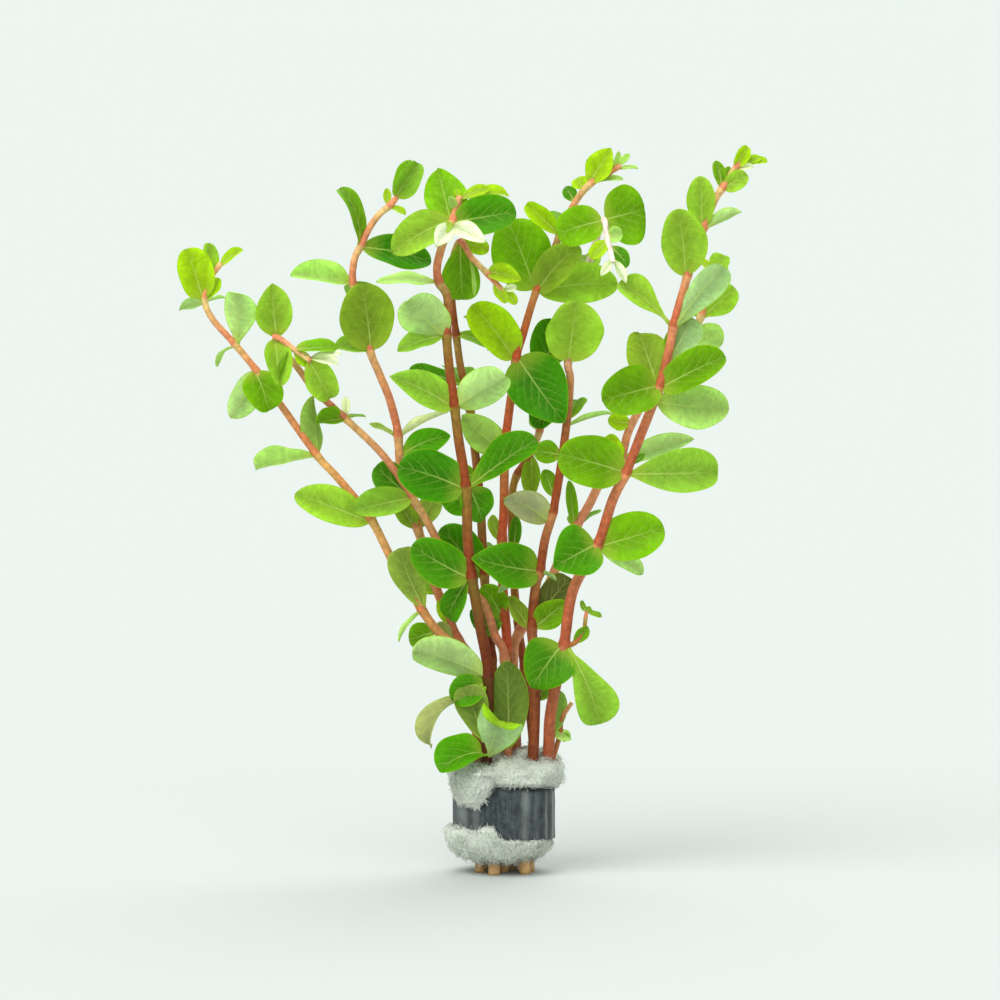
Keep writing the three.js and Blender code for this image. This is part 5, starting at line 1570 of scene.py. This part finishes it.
def hanging_wisps(count):
    """Fibres that hang down over the strip from the lower edge of the tuft."""
    bearing = np.radians(rng.uniform(-159, -101, count))
    edge = np.interp((bearing - TUFT_BEARING) / TUFT_HALF_ARC, *zip(*TUFT_EDGE))
    top = edge + 0.6 + 0.7 * np.sin(13 * bearing) + rng.uniform(-0.4, 1.0, count)
    long = rng.uniform(0.5, 1.7, count)
    sway = rng.normal(0, 0.05, count)
    path, out = [], []
    for k in range(FIBRE_STEPS + 1):
        share = k / FIBRE_STEPS
        turned = bearing + sway * share + 0.01 * math.sin(5 * share)
        radius = 12.0 + 0.9 * (1 - share) * rng.uniform(0.4, 1, count) + 0.15
        way = np.stack([np.cos(turned), np.sin(turned), 0 * turned], 1)
        hung = np.stack([0 * turned + STRIP_CENTRE_X, 0 * turned, top - long * share], 1)
        path.append(way * radius[:, None] + hung)
        out.append(way)
    return np.stack(path, 1), np.stack(out, 1)


print("a fibre is a path of", FIBRE_STEPS + 1, "points")

# %% [markdown]
# Each path becomes a tube. Soil is worked out on each point of the floss, from how near
# the nearest stem is.


# %% Tubes and soil
def tubes(path, out, radius):
    """Three-sided tubes round the paths: points, and faces with closed ends."""
    count, steps = path.shape[:2]
    ahead = np.gradient(path, axis=1)
    ahead /= np.maximum(np.linalg.norm(ahead, axis=2, keepdims=True), 1e-9)
    sideways = np.cross(ahead, out)
    sideways /= np.maximum(np.linalg.norm(sideways, axis=2, keepdims=True), 1e-9)
    other = np.cross(sideways, ahead)
    narrowing = np.sin(np.linspace(0.3, math.pi - 0.3, steps))[None, :, None] ** 0.4
    taper = radius[:, None, None] * narrowing
    rings = [path + taper * (math.cos(a) * sideways + math.sin(a) * other) for a in (0.5, 2.6, 4.7)]
    points = np.stack(rings, 2).reshape(-1, 3)
    start = (np.arange(count)[:, None] * steps + np.arange(steps - 1)[None, :]).reshape(-1, 1) * 3
    sides = [start + np.array([k, (k + 1) % 3, (k + 1) % 3 + 3, k + 3]) for k in range(3)]
    first = np.arange(count)[:, None] * steps * 3
    ends = [first + np.array([2, 1, 0]), first + (steps - 1) * 3 + np.array([0, 1, 2])]
    return points, np.concatenate(sides).tolist() + np.concatenate(ends).tolist()


def soil_at(points):
    """1 beside a stem, 0 a few millimetres away from all of them."""
    nearest = np.full(points.shape[:-1], 99.0)
    for stem in STEMS.values():
        run = along_route(stem["route"], np.linspace(1, 4, 40))[0]
        gap = np.linalg.norm(points[..., None, :] - run, axis=-1).min(axis=-1)
        nearest = np.minimum(nearest, gap - stem["radii"][0])
    return 1 - smooth(nearest, 0.2, 2.6)


print("soil on the collar, on average:", soil_at(collar).mean().round(2))

# %% [markdown]
# The bodies and their fibres become one object each, in the order skirt, collar and tuft.
# Together they stand in for the one solid plug.

# %% Floss pieces
FIBRE_RADII = (0.03, 0.075)  # mm


def floss_piece(name, grid, fibre_count, length, hanging=None):
    """One piece of floss: a lumpy body, the fibres on it, and any that hang from it."""
    normals = grid_normals(grid)
    bumps = 0.45 * rough_field(grid, 2.6, 8) + 0.25 * rough_field(grid, 1.0, 9)
    body = grid + normals * bumps[..., None]
    rows, columns = body.shape[:2]
    paths, out = fibres(body, normals, fibre_count, length)
    if hanging is not None:
        paths, out = np.concatenate([paths, hanging[0]]), np.concatenate([out, hanging[1]])
    hair, hair_faces = tubes(paths, out, rng.uniform(*FIBRE_RADII, len(paths)))
    tint = np.repeat(rng.uniform(0, 1, len(paths)) ** 0.8, paths.shape[1] * 3)
    plug = (body.reshape(-1, 3), loop_faces(rows, columns), np.zeros(rows * columns))
    points, faces, tint = join_parts([plug, (hair, hair_faces, tint)])
    measures = [("soil", "FLOAT", soil_at(points)), ("tint", "FLOAT", tint)]
    piece = mesh_object(name, points * MM, faces, FLOSS, measures)
    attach(piece, "root")
    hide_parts("wool_plug")
    print(name, "fibres:", len(paths), "faces:", len(faces))


floss_piece("floss_skirt", skirt, 6300, 3.0)
floss_piece("floss_collar", collar, 6240, 3.0)
floss_piece("floss_tuft", tuft, 2640, 2.4, hanging_wisps(500))

# %% [markdown]
# ## Floor
# The bunch stands on a sheet of pale mint paper, matte and faintly toothed, that runs so
# far back behind it that it fills the picture evenly. Paper has no gloss to speak of, so
# a plain diffuse shader is enough.

# %% Floor
FLOOR_REACH = 24.0  # metres: far enough that the camera sees nothing else
PAPER_TOOTH = 1.11  # mm


def mint_floor():
    paper = new_material("mint_paper")
    place = add_node(paper, "NewGeometry").outputs["Position"]
    tooth = add_node(paper, "TexNoise", {"Vector": place, "Scale": 1 / (PAPER_TOOTH * MM)}).outputs["Fac"]
    bump = add_node(paper, "Bump", {"Height": tooth, "Strength": 0.1, "Distance": 0.1 * MM}).outputs[0]
    matte = add_node(paper, "BsdfDiffuse", {"Color": linear("#bcc3bf"), "Normal": bump})
    add_node(paper, "OutputMaterial", {"Surface": matte.outputs[0]})
    r = FLOOR_REACH
    corners = [(-r, -r, 0), (r, -r, 0), (r, r, 0), (-r, r, 0)]
    return mesh_object("floor", corners, [(0, 1, 2, 3)], paper)


mint_floor()
print("floor:", 2 * FLOOR_REACH, "m wide")

# %% [markdown]
# ## Light
# Three broad soft lamps and a white room keep the shadows faint, as the photograph has
# them. The key is high at the front left. The light from above and behind is what makes
# the thin leaves glow, and a weak one from the front opens the shadows between them.

# %% Soft studio light
ROOM_BRIGHTNESS = 0.62
world = bpy.data.worlds.new("soft_room")
world.use_nodes = True
world.node_tree.nodes["Background"].inputs[0].default_value = (1.0, 1.0, 1.0, 1)
world.node_tree.nodes["Background"].inputs[1].default_value = ROOM_BRIGHTNESS
bpy.context.scene.world = world


def soft_lamp(name, bearing, height, power, softness):
    """A broad far lamp. Bearing 0 is the front and 90 the right, both in degrees."""
    lamp = bpy.data.lights.new(name, "SUN")
    lamp.energy = power
    lamp.angle = math.radians(softness)
    place = bpy.data.objects.new(name, lamp)
    place.rotation_euler = (math.radians(90 - height), 0, math.radians(bearing))
    bpy.context.scene.collection.objects.link(place)
    print(name, "power:", power)


soft_lamp("key_light", bearing=-38, height=52, power=2.1, softness=45)
soft_lamp("back_light", bearing=160, height=55, power=1.8, softness=50)
soft_lamp("front_fill", bearing=12, height=14, power=0.75, softness=60)

# %% [markdown]
# ## Camera
# The bunch was photographed from straight in front, five degrees above the level, with a
# long lens. Two places in the photograph fix the camera: the column over the middle of
# the cut ends, and the row of the lowest cut end. The width of a pixel, worked out from
# the strip's real width, does the rest.

# %% Camera
MM_PER_PIXEL = 0.222
PHOTO_SIDE = 1000  # pixels, both ways
MIDDLE_PIXEL = 500
ORIGIN_PIXEL_X = 503
GROUND_PIXEL_Y = 873
CAMERA_DISTANCE = 1.5
CAMERA_UP_DEG = 5
SENSOR = 36
camera = bpy.data.cameras.new("camera")
camera.sensor_width = SENSOR
camera.lens = SENSOR * CAMERA_DISTANCE / (PHOTO_SIDE * MM_PER_PIXEL * MM)
camera.clip_end = 20
eye = bpy.data.objects.new("camera", camera)
tilt = math.radians(CAMERA_UP_DEG)
target_x = (MIDDLE_PIXEL - ORIGIN_PIXEL_X) * MM_PER_PIXEL * MM
target_z = (GROUND_PIXEL_Y - MIDDLE_PIXEL) * MM_PER_PIXEL * MM / math.cos(tilt)
target = Vector((target_x, 0, target_z))
eye.location = target + CAMERA_DISTANCE * Vector((0, -math.cos(tilt), math.sin(tilt)))
eye.rotation_euler = (math.pi / 2 - tilt, 0, 0)
bpy.context.scene.collection.objects.link(eye)
bpy.context.scene.camera = eye
bpy.context.scene.view_settings.view_transform = "Standard"
print("lens:", round(camera.lens), "mm")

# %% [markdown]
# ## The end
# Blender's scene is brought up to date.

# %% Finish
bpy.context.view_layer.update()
